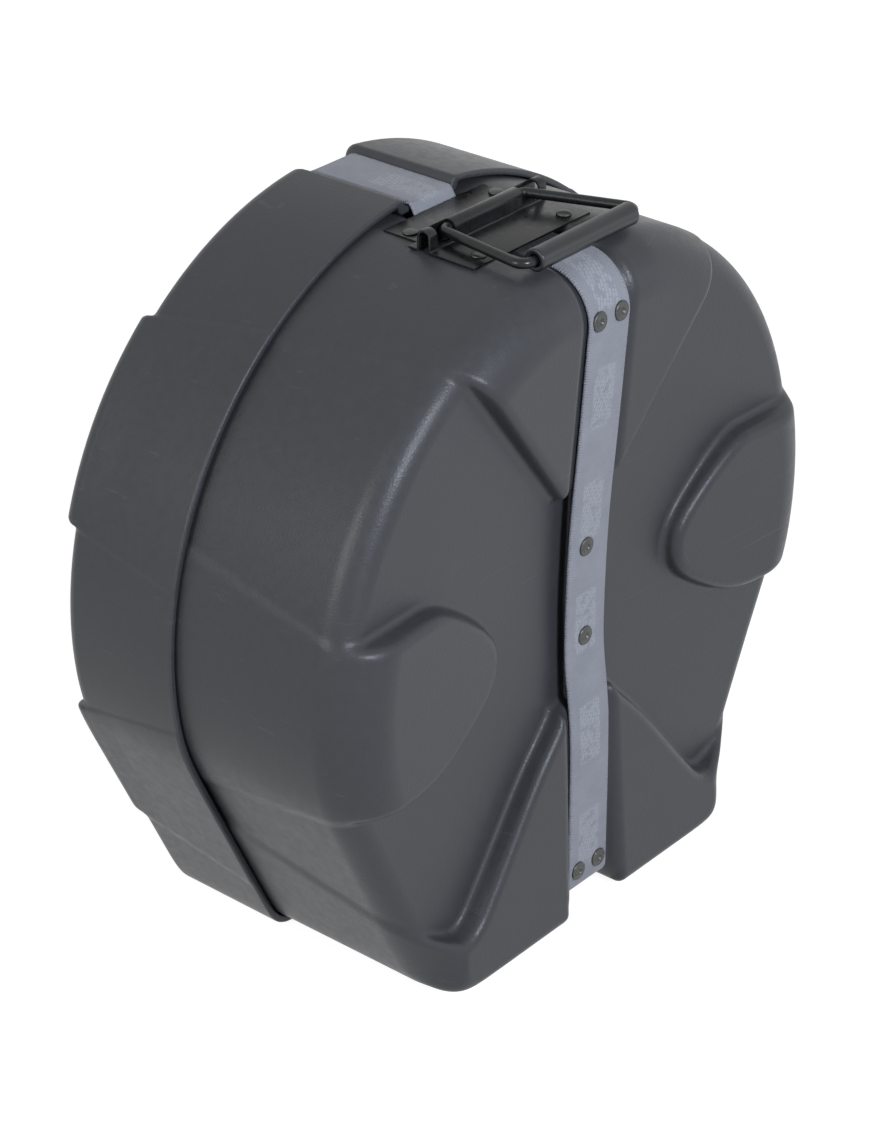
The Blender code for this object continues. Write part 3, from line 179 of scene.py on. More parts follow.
def outline_distance(across, along, corners):
    """Signed distance to a closed outline, negative inside it."""
    across, along = np.broadcast_arrays(across, along)
    nearest = np.full(across.shape, FAR, dtype=across.dtype)
    inside = np.zeros(across.shape, dtype=bool)
    for (ax, ay), (bx, by) in zip(corners, corners[1:] + corners[:1]):
        ex = bx - ax
        ey = by - ay
        wx = across - ax
        wy = along - ay
        share = np.clip((wx * ex + wy * ey) / (ex * ex + ey * ey), 0.0, 1.0)
        nearest = np.minimum(nearest, (wx - ex * share) ** 2 + (wy - ey * share) ** 2)
        if ay != by:
            inside ^= ((ay > along) != (by > along)) & (across < ex * (along - ay) / (by - ay) + ax)
    nearest = np.sqrt(nearest)
    return np.where(inside, -nearest, nearest)


def soft_least(first, second, sharpness):
    """The smaller of two lengths, with a rounded change-over."""
    least = np.minimum(first, second)
    return least * ((first / least) ** -sharpness + (second / least) ** -sharpness) ** (-1.0 / sharpness)


def reach(x, height, inset, plateau=None):
    """Distance from the axis to the outline, and how far the flat underside sets it."""
    angle = np.arctan2(height - AXIS_HEIGHT, x)
    facing = np.where(np.cos(angle) > 0.0, SIDE_LINE_ANGLE, math.pi - SIDE_LINE_ANGLE)
    along = np.maximum(np.cos(angle - facing), LEAST_DIVISOR)
    sine = np.sin(angle)
    circle = (LID_RADIUS - inset) / np.where(sine < math.sin(SIDE_LINE_ANGLE), along, 1.0)
    result = soft_least(circle, (SIDE_LINE_DISTANCE - inset) / along, BLEND_SHARPNESS)
    floor = (AXIS_HEIGHT - inset) / np.maximum(-sine, LEAST_DIVISOR)
    share = np.where(sine < -LEAST_DIVISOR, 1.0 / (1.0 + (floor / result) ** CORNER_SHARPNESS), 0.0)
    result = np.where(sine < -LEAST_DIVISOR, soft_least(result, floor, CORNER_SHARPNESS), result)
    if plateau is not None:
        roof = plateau / np.maximum(sine, LEAST_DIVISOR)
        result = np.where(sine > LEAST_DIVISOR, soft_least(result, roof, PLATEAU_SHARPNESS), result)
    return result, share


def rounded_body(side_room, face_room, side_round, face_round):
    """A field that is negative where both rooms are positive, rounded where they meet."""
    side = 1.0 - side_room / side_round
    face = 1.0 - face_room / face_round
    outside = np.hypot(np.maximum(side, 0.0), np.maximum(face, 0.0))
    return (outside + np.minimum(np.maximum(side, face), 0.0) - 1.0) * np.minimum(side_round, face_round)


def arc(centre, radius, start, stop, steps):
    """Points along an arc, angles in degrees."""
    angles = np.radians(np.linspace(start, stop, steps + 1)).tolist()
    return [(centre[0] + radius * math.cos(a), centre[1] + radius * math.sin(a)) for a in angles]


def base_path():
    """The base's channel floor over the top, down the front and under the bottom."""
    top_centre = (FRONT_FLOOR[0][0] + TOP_BEND_RADIUS, BASE_CHANNEL_TOP - TOP_BEND_RADIUS)
    low_centre = (FRONT_FLOOR[-1][0] + BOTTOM_BEND_RADIUS, BASE_CHANNEL_BOTTOM + BOTTOM_BEND_RADIUS)
    front = cut_corners(FRONT_FLOOR, 2, closed=False)
    over_top = arc(top_centre, TOP_BEND_RADIUS, 90.0, 180.0, 14)
    return over_top + front[1:-1] + arc(low_centre, BOTTOM_BEND_RADIUS, 180.0, 270.0, 8)


def lid_path(front_depth):
    """The lid's channel floor under the bottom, up the back and over the top."""
    back = LID_BACK_DEPTH - LID_CHANNEL_DEPTH
    top = AXIS_HEIGHT + LID_RADIUS - LID_CHANNEL_DEPTH
    bend = back - LID_BEND_RADIUS
    low = arc((bend, LID_CHANNEL_BOTTOM + LID_BEND_RADIUS), LID_BEND_RADIUS, -90.0, 0.0, 8)
    high = arc((bend, top - LID_BEND_RADIUS), LID_BEND_RADIUS, 0.0, 90.0, 8)
    return [(front_depth, LID_CHANNEL_BOTTOM)] + low + high + [(front_depth, top)]


BASE_BLOCK = [(FAR, BASE_CHANNEL_TOP)] + base_path() + [(FAR, BASE_CHANNEL_BOTTOM)]
LID_BLOCK = lid_path(-FAR)
FEET = cut_corners(FOOT_SECTOR, 2)
EAR = cut_corners(EAR_SECTOR, 2)
LID_EAR = cut_corners(LID_EAR_SECTOR, 2)


def channel_field(x, depth, height, block, wall=0.0):
    """Positive in the channel that is cut down to a block's outline."""
    rise = outline_distance(depth, height, block) + wall
    side = CHANNEL_HALF + wall + np.clip(rise, -CHANNEL_FLARE, CHANNEL_FLARE) * CHANNEL_LEAN - np.abs(x)
    return smooth_min(rise, side, FLOOR_ROUND)


def box_field(x, depth, height, low, high):
    """Signed distance, negative inside a box."""
    field = -FAR
    for value, bottom, top in zip((x, depth, height), low, high):
        field = np.maximum(field, np.maximum(bottom - value, value - top))
    return field


def slot_field(x, depth, height, wall=0.0):
    """Positive in the base's lower rear slot, which the lid's channel runs in."""
    low = (-SLOT_HALF - wall, SLOT_FRONT_DEPTH - wall, -FAR)
    return -box_field(x, depth, height, low, (SLOT_HALF + wall, FAR, BASE_CHANNEL_BOTTOM + wall))


def pocket_field(x, depth, height, wall=0.0):
    """Positive in the lid's pocket for the buckle."""
    low = (-POCKET_HALF_WIDTH - wall, POCKET_DEPTH - wall, POCKET_BOTTOM - wall)
    return -box_field(x, depth, height, low, (POCKET_HALF_WIDTH + wall, FAR, POCKET_TOP + wall))


def base_body(x, depth, height, inset):
    """The base's plain body as a field, and the shapes its raised sectors are cut from."""
    radius = np.hypot(x, height - AXIS_HEIGHT)
    edge, share = reach(x, height, BASE_INSET + inset, PLATEAU_HEIGHT - AXIS_HEIGHT - inset)
    room = edge - radius

    def body(level, side_round, drop=0.0):
        side = side_round + (FOOT_BOTTOM_ROUND - side_round) * share
        face = np.maximum(SIDE_START_DEPTH - level, LEAST_ROUND)
        face = face + (FOOT_BOTTOM_ROUND - face) * share
        return rounded_body(room + drop * share, depth - level, side, face)

    sunk = body(SUNK_CENTRE_DEPTH + inset - SUNK_DISH_SLOPE * radius, SUNK_EDGE_ROUND)
    return sunk, radius, body


def base_solid(x, depth, height):
    """Negative inside the base, taken as solid."""
    field, radius, body = base_body(x, depth, height, 0.0)
    lean = (depth - PAD_OUTLINE_DEPTH) * PAD_LEAN
    raised = body(RAISED_CENTRE_DEPTH - RAISED_DISH_SLOPE * radius, RAISED_EDGE_ROUND)
    foot = body(FOOT_CENTRE_DEPTH - FOOT_LEAN_SLOPE * (AXIS_HEIGHT - height), FOOT_EDGE_ROUND, FOOT_DROP)
    for shape, sector in ((raised, TOP_SECTOR), (raised, EAR), (foot, FEET)):
        wall = outline_distance(np.abs(x), height, sector) - lean
        field = smooth_min(field, smooth_max(shape, wall, CREST_ROUND), VALLEY_ROUND)
    for side in (-1.0, 1.0):
        low_x, high_x = sorted((side * BOSS_X[0], side * BOSS_X[1]))
        low = (low_x, BOSS_DEPTH[0], 0.0)
        high = (high_x, BOSS_DEPTH[1], BOSS_TOP)
        field = smooth_min(field, box_field(x, depth, height, low, high), FLOOR_ROUND)
    field = smooth_max(field, slot_field(x, depth, height), FLOOR_ROUND)
    field = smooth_max(field, channel_field(x, depth, height, BASE_BLOCK), MOUTH_ROUND)
    spine_low = (-SPINE_HALF, FRONT_FLOOR[-1][0], SPINE_BOTTOM)
    spine_high = (SPINE_HALF, SUNK_CENTRE_DEPTH + WALL, SPINE_TOP)
    spine = np.maximum(
        box_field(x, depth, height, spine_low, spine_high), outline_distance(depth, height, BASE_BLOCK)
    )
    return smooth_min(field, spine, FLOOR_ROUND)


def base_shell(x, depth, height):
    """Negative inside the base's wall."""
    solid = smooth_max(base_solid(x, depth, height), depth - BASE_RIM_DEPTH, RIM_ROUND)
    hollow, _, _ = base_body(x, depth, height, WALL)
    hollow = np.maximum(hollow, channel_field(x, depth, height, BASE_BLOCK, WALL))
    hollow = np.maximum(hollow, slot_field(x, depth, height, WALL))
    return smooth_max(solid, -hollow, RIM_ROUND)


def lid_body(x, depth, height, inset):
    """The lid's plain body as a field, and what its raised fields are made from."""
    radius = np.hypot(x, height - AXIS_HEIGHT)
    edge, share = reach(x, height, inset)
    room = edge - radius - (1.0 - share) * (depth - LID_RIM_DEPTH) * math.tan(LID_DRAFT)
    size = LID_EDGE_ROUND - inset
    return rounded_body(room, LID_BACK_DEPTH - inset - depth, size, size), room, share


def lid_solid(x, depth, height):
    """Negative inside the lid, taken as solid."""
    field, room, share = lid_body(x, depth, height, 0.0)
    start = CASE_DEPTH - 3 * LID_EDGE_ROUND
    rise = np.clip((depth - start) / (2 * LID_EDGE_ROUND), 0.0, 1.0) * (1.0 - share)
    pad = rounded_body(room + rise * LID_PAD_BULGE, CASE_DEPTH - depth, LID_EDGE_ROUND, LID_EDGE_ROUND)
    lean = (depth - CASE_DEPTH) * PAD_LEAN
    for sector in (LID_TOP_SECTOR, LID_EAR, FEET):
        low = outline_distance(np.abs(x), height, sector) - lean
        pad = smooth_max(pad, -low, CREST_ROUND / 2)
    field = smooth_min(field, pad, VALLEY_ROUND / 2)
    field = smooth_max(field, pocket_field(x, depth, height), FLOOR_ROUND)
    return smooth_max(field, channel_field(x, depth, height, LID_BLOCK), MOUTH_ROUND / 2)


def lid_shell(x, depth, height):
    """Negative inside the lid's wall."""
    solid = smooth_max(lid_solid(x, depth, height), LID_RIM_DEPTH - depth, RIM_ROUND)
    hollow, _, _ = lid_body(x, depth, height, WALL)
    hollow = np.maximum(hollow, channel_field(x, depth, height, LID_BLOCK, WALL))
    hollow = np.maximum(hollow, pocket_field(x, depth, height, WALL))
    return smooth_max(solid, -hollow, RIM_ROUND)


def net_points(values, cells):
    """One point in each cell, at the mean of where the field crosses the cell's edges."""
    total = np.zeros(cells.shape)
    count = np.zeros(len(cells))
    for axis in range(3):
        for corner in itertools.product((0, 1), repeat=2):
            start = cells.copy()
            start[:, (axis + 1) % 3] += corner[0]
            start[:, (axis + 2) % 3] += corner[1]
            stop = start.copy()
            stop[:, axis] += 1
            first = values[tuple(start.T)]
            second = values[tuple(stop.T)]
            crossed = (first < 0.0) != (second < 0.0)
            point = start.astype(float)
            point[crossed, axis] += first[crossed] / (first[crossed] - second[crossed])
            total[crossed] += point[crossed]
            count += crossed
    return total / count[:, None]


def net_faces(inside, numbers):
    """Quads round each grid edge that the field crosses."""
    faces = []
    for axis in range(3):
        order = (axis, (axis + 1) % 3, (axis + 2) % 3)
        turned = inside.transpose(order)
        cells = numbers.transpose(order)
        first = turned[:-1, 1:-1, 1:-1]
        second = turned[1:, 1:-1, 1:-1]
        for outward, crossed in ((True, first & ~second), (False, second & ~first)):
            i, j, k = np.nonzero(crossed)
            quad = [cells[i, j, k], cells[i, j + 1, k], cells[i, j + 1, k + 1], cells[i, j, k + 1]]
            faces.append(np.stack(quad if outward else quad[::-1], axis=1))
    return np.concatenate(faces)


def slope(field, points, values):
    """The field's gradient at some points."""
    gradient = np.empty(points.shape)
    for axis in range(3):
        moved = points.copy()
        moved[:, axis] += SLOPE_STEP
        gradient[:, axis] = (field(*moved.T) - values) / SLOPE_STEP
    return gradient


def moulded(name, field, low, high, cell):
    """A fine closed skin over the place where a field is nought."""
    axes = [np.arange(start, stop, cell, dtype=np.float32) for start, stop in zip(low, high)]
    values = field(axes[0][:, None, None], axes[1][None, :, None], axes[2][None, None, :])
    inside = values < 0.0
    shape = [size - 1 for size in inside.shape]
    full = np.zeros(shape, dtype=np.int8)
    for i, j, k in itertools.product((0, 1), repeat=3):
        full += inside[i:i + shape[0], j:j + shape[1], k:k + shape[2]]
    active = (full > 0) & (full < 8)
    numbers = np.full(shape, -1)
    cells = np.argwhere(active)
    numbers[active] = np.arange(len(cells))
    points = net_points(values, cells) * cell + np.array(low)
    faces = net_faces(inside, numbers)
    here = field(*points.T)
    for _ in range(2):
        gradient = slope(field, points, here)
        size = np.maximum((gradient ** 2).sum(axis=1), 0.25)
        moved = points - np.clip(here / size, -cell / 2, cell / 2)[:, None] * gradient
        there = field(*moved.T)
        better = np.abs(there) < np.abs(here)
        points[better] = moved[better]
        here = np.where(better, there, here)
    gradient = slope(field, points, here)
    normals = gradient / np.maximum(np.linalg.norm(gradient, axis=1), 1e-9)[:, None]
    points[:, 1] = y_of(points[:, 1])
    mesh = bpy.data.meshes.new(name)
    mesh.from_pydata(points.tolist(), [], faces.tolist())
    mesh.shade_smooth()
    mesh.normals_split_custom_set_from_vertices(normals.tolist())
    piece = bpy.data.objects.new(name, mesh)
    bpy.context.scene.collection.objects.link(piece)
    return piece


# Strap rivets, as x and height, and the shapes of their heads
RIVET_HALF_PITCH = 0.0103
STRAP_RIVETS = {
    "top_left": (-RIVET_HALF_PITCH, 0.4175),
    "top_right": (RIVET_HALF_PITCH, 0.4175),
    "middle_upper": (-0.0030, 0.2627),
    "middle_lower": (-0.0006, 0.1990),
    "bottom_left": (-RIVET_HALF_PITCH, 0.0328),
    "bottom_right": (RIVET_HALF_PITCH, 0.0328),
}
RIVET_HEAD_RADIUS = 0.0063
RIVET_HEAD_HEIGHT = 0.0018
RIVET_SHANK_RADIUS = 0.0024
RIVET_FACE = [
    (0.0011, 0.28), (0.0017, 0.60), (0.0021, 0.92), (0.0025, 1.0), (0.0033, 0.98), (0.0040, 0.86),
    (0.0044, 0.72), (0.0047, 0.70), (0.0050, 0.78), (0.0056, 0.76), (0.0060, 0.62),
]
RIVET_MIDDLE_SHARE = 0.25
RIVET_RIM_SHARE = 0.38
RIVET_SIDES = 48
TAIL_RADIUS = 0.0040
TAIL_HEIGHT = 0.0016
PIN_RADIUS = 0.00005

# Where the strap is split, climbs on to the lid and goes into the buckle
STRAP_SPLIT_DEPTH = 0.1280
STRAP_RAMP_DEPTH = 0.1310
STRAP_EXIT_DEPTH = 0.1410
STRAP_EXIT_RISE = 0.0016
PLUG_BOTTOM = 0.2065
SOCKET_TOP = 0.2575
WEB_SOCKET_LENGTH = 0.0060

# Weave of the strap
WEB_STEP = 0.0015
WEB_RIB = 0.00018
WEB_ROUND = 0.0006
WEB_COLUMNS = 25
SELVAGE = 0.0166
SELVAGE_BLEND = 0.0006
WARP_PITCH = 0.0016
WEFT_PITCH = 0.0011
PICK_PITCH = 0.0017
FIGURE_PITCH = 0.0780
FIGURE_HALF = 0.0100
FIGURE_BLEND = 0.0005
FIGURE_TURN = math.radians(72.0)
RIPPLE_DEPTH = 0.00012
RIPPLE_PITCH = 0.0034

# Handle
PLATE_CENTRE_X = -0.0040
PLATE_HALF_WIDTH = 0.0540
PLATE_REAR_DEPTH = 0.1390
PLATE_FRONT_DEPTH = 0.0630
PLATE_CORNER_WIDTH = 0.0080
PLATE_CORNER_DEPTH = 0.1130
PLATE_THICKNESS = 0.0015
BARREL_DEPTH = 0.1015
BARREL_HEIGHT = 0.4595
WIRE_RADIUS = 0.00318
BARREL_CLEARANCE = 0.0004
ARCH_RADIUS = WIRE_RADIUS + BARREL_CLEARANCE
PLATE_ROOT = 0.0012
PLATE_EDGE = 0.0003
PLATE_EDGE_ANGLE = math.radians(50.0)
PLATE_SHARP_ANGLE = math.radians(40.0)
WINDOW_X = (0.0310, 0.0475)
WINDOW_DEPTH = (0.0900, 0.1048)
WINDOW_HEIGHT = (0.4540, 0.4720)
BAIL_BARREL_HALF = 0.0375
BAIL_GRIP_HALF = 0.0555
BAIL_BARREL_BEND = 0.0050
BAIL_GRIP_BEND = 0.0065
GRIP_DEPTH = 0.0330
GRIP_SKEW = 0.0080
GRIP_HALF_LENGTH = 0.0455
GRIP_RADIUS = 0.0072
GRIP_EDGE = 0.0013
GRIP_FLARE = 0.0004
GRIP_MOUTH = 0.0006
GRIP_BORE_LENGTH = 0.0040
GRIP_WAIST = 0.0001
GRIP_SWELL = 0.00006
GRIP_SWELLS = 17.0
GRIP_SIDES = 44
BAIL_SIDES = 28
BEND_STEPS = 12
HANDLE_RIVET_DEPTHS = {"rear": 0.1245, "front": 0.0725}
HANDLE_RIVET_X = {"left": -0.0430, "right": 0.0370}
HANDLE_HEAD_RADIUS = 0.0048
HANDLE_HEAD_HEIGHT = 0.0016
HEAD_RIM_SHARE = 0.25
HANDLE_RIVET_SIDES = 40

# Foam
FOAM_DISC_INSET = 0.0180
BASE_FOAM_THICKNESS = 0.0120
FOAM_RIVET_HOLE = 0.0095
FOAM_EDGE = 0.0040
FOAM_CELL = 0.0040
DRUM_RADIUS = 0.1990
CRADLE_DEPTHS = (0.0600, 0.1950)
CRADLE_GAP = 0.0008
CRADLE_MARGIN = 0.0060
CRADLE_REACH_X = (0.18, 0.25)
CRADLE_REACH_HEIGHT = (0.18, 0.30)
LID_FOAM_INSET = 0.0012
FOAM_LEVELS = {"base": (0.0280, 0.0550, 0.4600), "lid": (0.2080, 0.2380, 0.4660)}
CRADLES = {
    "left": (164.0, 196.0),
    "right": (-16.0, 16.0),
    "lower_left": (222.0, 238.0),
    "lower_right": (302.0, 318.0),
}


class Look:
    """A procedural material in the making."""

    def __init__(self, name, place="Object"):
        self.material = bpy.data.materials.new(name)
        self.material.use_nodes = True
        tree = self.material.node_tree
        self.nodes = tree.nodes
        self.links = tree.links
        self.shader = self.nodes["Principled BSDF"]
        self.place = self.nodes.new("ShaderNodeTexCoord").outputs[place]

    def put(self, socket, value):
        """Link or set one of a node's inputs."""
        if isinstance(value, bpy.types.NodeSocket):
            self.links.new(value, socket)
        elif isinstance(value, tuple) and len(value) == 3 and socket.type == "RGBA":
            socket.default_value = (*value, 1.0)
        else:
            socket.default_value = value

    def add(self, kind, output, inputs, **settings):
        """Add a node with its settings and inputs, and give one of its outputs."""
        node = self.nodes.new("ShaderNode" + kind)
        for key, value in settings.items():
            setattr(node, key, value)
        for key, value in inputs.items():
            self.put(node.inputs[key], value)
        return node.outputs[output]

    def noise(self, scale, detail=3.0, roughness=0.55, stretch=None, distortion=0.0):
        """Soft mottling; the scale is in features per metre."""
        place = self.place
        if stretch:
            place = self.add("Mapping", "Vector", {"Vector": place, "Scale": stretch})
        inputs = {"Vector": place, "Scale": scale, "Detail": detail, "Roughness": roughness}
        return self.add("TexNoise", "Fac", {**inputs, "Distortion": distortion})

    def grain(self, scale):
        """Distance to the borders of leather-like cells."""
        inputs = {"Vector": self.place, "Scale": scale}
        return self.add("TexVoronoi", "Distance", inputs, feature="DISTANCE_TO_EDGE")

    def span(self, value, low, high, start=0.0, stop=1.0):
        """Map a value's span to another, clamped."""
        inputs = {"Value": value, "From Min": low, "From Max": high, "To Min": start, "To Max": stop}
        return self.add("MapRange", "Result", inputs)

    def math(self, operation, first, second=0.0):
        """One arithmetic step."""
        return self.add("Math", "Value", {0: first, 1: second}, operation=operation)

    def blend(self, share, first, second):
        """Mix two colours."""
        return self.add("Mix", 2, {0: share, 6: first, 7: second}, data_type="RGBA")

    def relief(self, height, distance, strength):
        """Bump the surface; calls stack."""
        inputs = {"Height": height, "Distance": distance, "Strength": strength}
        normal = self.shader.inputs["Normal"]
        if normal.links:
            inputs["Normal"] = normal.links[0].from_socket
        self.put(normal, self.add("Bump", "Normal", inputs))

    def finish(self, colour, roughness, metallic=0.0):
        """Set the shader's main inputs and give the material."""
        self.put(self.shader.inputs["Base Color"], colour)
        self.put(self.shader.inputs["Roughness"], roughness)
        self.shader.inputs["Metallic"].default_value = metallic
        return self.material


def shell_look():
    """Rotationally moulded black polyethylene with a leather grain, scuffs and fine scratches."""
    look = Look("black_polyethylene")
    cloud = look.noise(7.0, 2.0)
    mottle = look.noise(160.0, 4.0, 0.65)
    scuff = look.span(look.noise(34.0, 6.0, 0.7, stretch=(1.0, 1.0, 0.35)), 0.62, 0.80)
    scratch = look.span(look.noise(60.0, 2.0, 0.5, stretch=(0.12, 1.0, 6.0), distortion=0.4), 0.700, 0.735)
    colour = look.blend(cloud, (0.0398, 0.0414, 0.0452), (0.0480, 0.0500, 0.0546))
    colour = look.blend(look.span(mottle, 0.3, 0.7, 0.0, 0.35), colour, (0.0590, 0.0620, 0.0680))
    colour = look.blend(look.math("MULTIPLY", scuff, 0.14), colour, (0.110, 0.113, 0.120))
    colour = look.blend(look.math("MULTIPLY", scratch, 0.12), colour, (0.150, 0.155, 0.165))
    look.relief(look.span(look.grain(420.0), 0.0, 0.35), 0.00009, 0.55)
    look.relief(look.noise(900.0, 3.0, 0.7), 0.00006, 0.45)
    look.relief(look.noise(26.0, 2.0, 0.5), 0.0006, 0.25)
    look.shader.inputs["Specular IOR Level"].default_value = 0.28
    return look.finish(colour, look.span(mottle, 0.3, 0.7, 0.33, 0.44))


def web_look():
    """Grey polyester webbing: ribs, hard edges and a plain woven figure, with painted shade in the weave's
    hollows and a painted highlight on the crests of the edge picks.
    """
    look = Look("grey_webbing", "UV")
    across = look.add("SeparateXYZ", "X", {"Vector": look.place})
    along = across.node.outputs["Y"]

    def wave(value, pitch):
        return look.math("SINE", look.math("MULTIPLY", value, 2 * math.pi / pitch))

    off_centre = look.math("ABSOLUTE", across)
    weave = look.math("MULTIPLY", wave(across, WARP_PITCH), wave(along, WEFT_PITCH))
    edge = look.span(off_centre, SELVAGE - SELVAGE_BLEND, SELVAGE)
    picks = look.math("MULTIPLY", wave(along, PICK_PITCH), edge)
    turn = (0.0, 0.0, FIGURE_TURN)
    bricks = {"Vector": look.add("Mapping", "Vector", {"Vector": look.place, "Rotation": turn})}
    bricks.update({"Scale": 95.0, "Mortar Size": 0.035, "Mortar Smooth": 0.35})
    blocks = look.math("SUBTRACT", 1.0, look.add("TexBrick", "Fac", bricks))
    step = look.math("FRACT", look.math("DIVIDE", along, FIGURE_PITCH))
    inside = look.math("MULTIPLY", look.span(step, 0.10, 0.13), look.span(step, 0.66, 0.63))
    middle = look.span(off_centre, FIGURE_HALF + FIGURE_BLEND, FIGURE_HALF - FIGURE_BLEND)
    inside = look.math("MULTIPLY", inside, middle)
    ragged = look.span(look.noise(150.0, 3.0, 0.6), 0.40, 0.48)
    figure = look.math("MULTIPLY", look.math("MULTIPLY", inside, ragged), blocks)
    fibres = look.noise(900.0, 4.0, 0.7)
    wear = look.noise(45.0, 4.0, 0.6)
    colour = look.blend(look.span(wear, 0.35, 0.7), (0.235, 0.240, 0.278), (0.300, 0.307, 0.342))
    colour = look.blend(look.math("MULTIPLY", figure, 0.80), colour, (0.440, 0.450, 0.490))
    # Painted highlight and shade: lighter on the crests of the edge picks and darker in their troughs,
    # following their bump; the middle of the strap gets an even share of the lighter colour.
    colour = look.blend(look.span(picks, -1.0, 1.0, 0.0, 0.32), colour, (0.480, 0.490, 0.520))
    # Painted shade: darker in the hollows of the weave, where its bump is low.
    colour = look.blend(look.span(weave, -1.0, 0.4, 0.42, 0.0), colour, (0.100, 0.104, 0.125))
    colour = look.blend(look.span(fibres, 0.35, 0.75, 0.0, 0.30), colour, (0.400, 0.408, 0.440))
    look.relief(look.span(weave, -1.0, 1.0), 0.00022, 0.8)
    look.relief(look.span(picks, -1.0, 1.0), 0.00035, 0.8)
    look.relief(fibres, 0.0001, 0.5)
    look.shader.inputs["Sheen Weight"].default_value = 0.25
    return look.finish(colour, look.span(fibres, 0.3, 0.7, 0.68, 0.88))


def plain_look(name, colours, roughness, metallic, scale, depth, wear=None, stretch=None):
    """A rigid finish: two mottled tones, a roughness span, fine relief and worn spots."""
    look = Look(name)
    mottle = look.noise(scale, 4.0, 0.6, stretch=stretch)
    colour = look.blend(look.span(mottle, 0.3, 0.7), *colours)
    if wear:
        spots = look.span(look.noise(scale * 0.35, 6.0, 0.75), 0.63, 0.75, 0.0, 0.5)
        colour = look.blend(spots, colour, wear)
    look.relief(mottle, depth, 0.6)
    look.relief(look.noise(scale * 4.0, 2.0, 0.6), depth * 0.4, 0.5)
    return look.finish(colour, look.span(mottle, 0.3, 0.7, *roughness), metallic)


def foam_look():
    """Charcoal polyethylene foam with fine pores, their grooves darkened with painted shade."""
    look = Look("charcoal_foam")
    pores = look.grain(900.0)
    cloud = look.noise(30.0, 3.0)
    colour = look.blend(cloud, (0.034, 0.034, 0.038), (0.052, 0.052, 0.057))
    # Painted shade: darker in the pore grooves at the cell borders, where the bump is low.
    colour = look.blend(look.span(pores, 0.0, 0.12, 0.6, 0.0), colour, (0.016, 0.016, 0.018))
    look.relief(look.span(pores, 0.0, 0.3), 0.0004, 0.8)
    look.relief(cloud, 0.0012, 0.4)
    return look.finish(colour, look.span(cloud, 0.3, 0.7, 0.88, 0.98))


SHELL = shell_look()
WEB = web_look()
STEEL = plain_look(
    "black_steel", ((0.0060, 0.0068, 0.0078), (0.0130, 0.0140, 0.0150)), (0.24, 0.38), 0.35, 260.0, 0.00006,
    wear=(0.060, 0.062, 0.066),
)
RUBBER = plain_look(
    "rubber_grip", ((0.0080, 0.0090, 0.0105), (0.0150, 0.0168, 0.0190)), (0.28, 0.42), 0.0, 190.0, 0.00010,
    wear=(0.055, 0.058, 0.064), stretch=(0.25, 1.0, 1.0),
)
DARK_ZINC = plain_look(
    "dark_zinc", ((0.056, 0.059, 0.056), (0.098, 0.102, 0.095)), (0.30, 0.48), 0.65, 700.0, 0.00005,
    wear=(0.170, 0.172, 0.164),
)
BRIGHT_ZINC = plain_look(
    "bright_zinc", ((0.400, 0.410, 0.420), (0.520, 0.530, 0.540)), (0.28, 0.46), 0.85, 420.0, 0.00005,
    wear=(0.330, 0.335, 0.330),
)
ACETAL = plain_look(
    "black_acetal", ((0.0170, 0.0175, 0.0190), (0.0270, 0.0275, 0.0290)), (0.36, 0.52), 0.0, 380.0, 0.00007,
    wear=(0.050, 0.052, 0.056),
)
FOAM = foam_look()


def dress(piece, material, body, slot, *nodes):
    """Give a piece its material and body, and hide the solids it stands for; the slot argument is not used.
    """
    piece.data.materials.clear()
    piece.data.materials.append(material)
    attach(piece, body)
    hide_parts(*nodes)
    return piece


def new_piece(name, points, faces):
    """A mesh object from points and faces, with its normals outward."""
    mesh = bpy.data.meshes.new(name)
    mesh.from_pydata([tuple(point) for point in points], [], faces)
    data = bmesh.new()
    data.from_mesh(mesh)
    bmesh.ops.recalc_face_normals(data, faces=data.faces)
    data.to_mesh(mesh)
    data.free()
    mesh.shade_smooth()
    piece = bpy.data.objects.new(name, mesh)
    bpy.context.scene.collection.objects.link(piece)
    return piece


def ring_faces(rows, sides, closed=False):
    """Quads between rings of points; the ends are capped, or joined to each other if closed."""
    faces = []
    for row in range(rows if closed else rows - 1):
        here = row * sides
        after = (row + 1) % rows * sides
        for index in range(sides):
            following = (index + 1) % sides
            faces.append((here + index, here + following, after + following, after + index))
    if not closed:
        faces.append(tuple(range(sides)))
        faces.append(tuple(range((rows - 1) * sides, rows * sides)))
    return faces


def add_shells():
    """The two moulded shells."""
    wide = LID_RADIUS + SKIN_MARGIN
    tall = AXIS_HEIGHT + LID_RADIUS + SKIN_MARGIN
    high = (wide, BASE_RIM_DEPTH + SKIN_MARGIN, tall)
    base = moulded("base_skin", base_shell, (-wide, -SKIN_MARGIN, -SKIN_MARGIN), high, CELL)
    dress(base, SHELL, "base", "shell", "base_shell")
    low = (-wide, LID_RIM_DEPTH - SKIN_MARGIN, -SKIN_MARGIN)
    lid = moulded("lid_skin", lid_shell, low, (wide, CASE_DEPTH + SKIN_MARGIN, tall), CELL)
    dress(lid, SHELL, "lid", "shell", "lid_shell")


def evenly(path, step):
    """Points at an even step along a path, with the direction of travel at each."""
    points = np.array(path)
    lengths = np.concatenate([[0.0], np.cumsum(np.linalg.norm(np.diff(points, axis=0), axis=1))])
    marks = np.linspace(0.0, lengths[-1], int(lengths[-1] / step) + 1)
    spots = np.stack([np.interp(marks, lengths, points[:, i]) for i in (0, 1)], axis=1)
    travel = np.gradient(spots, axis=0)
    return spots, travel / np.linalg.norm(travel, axis=1)[:, None], marks


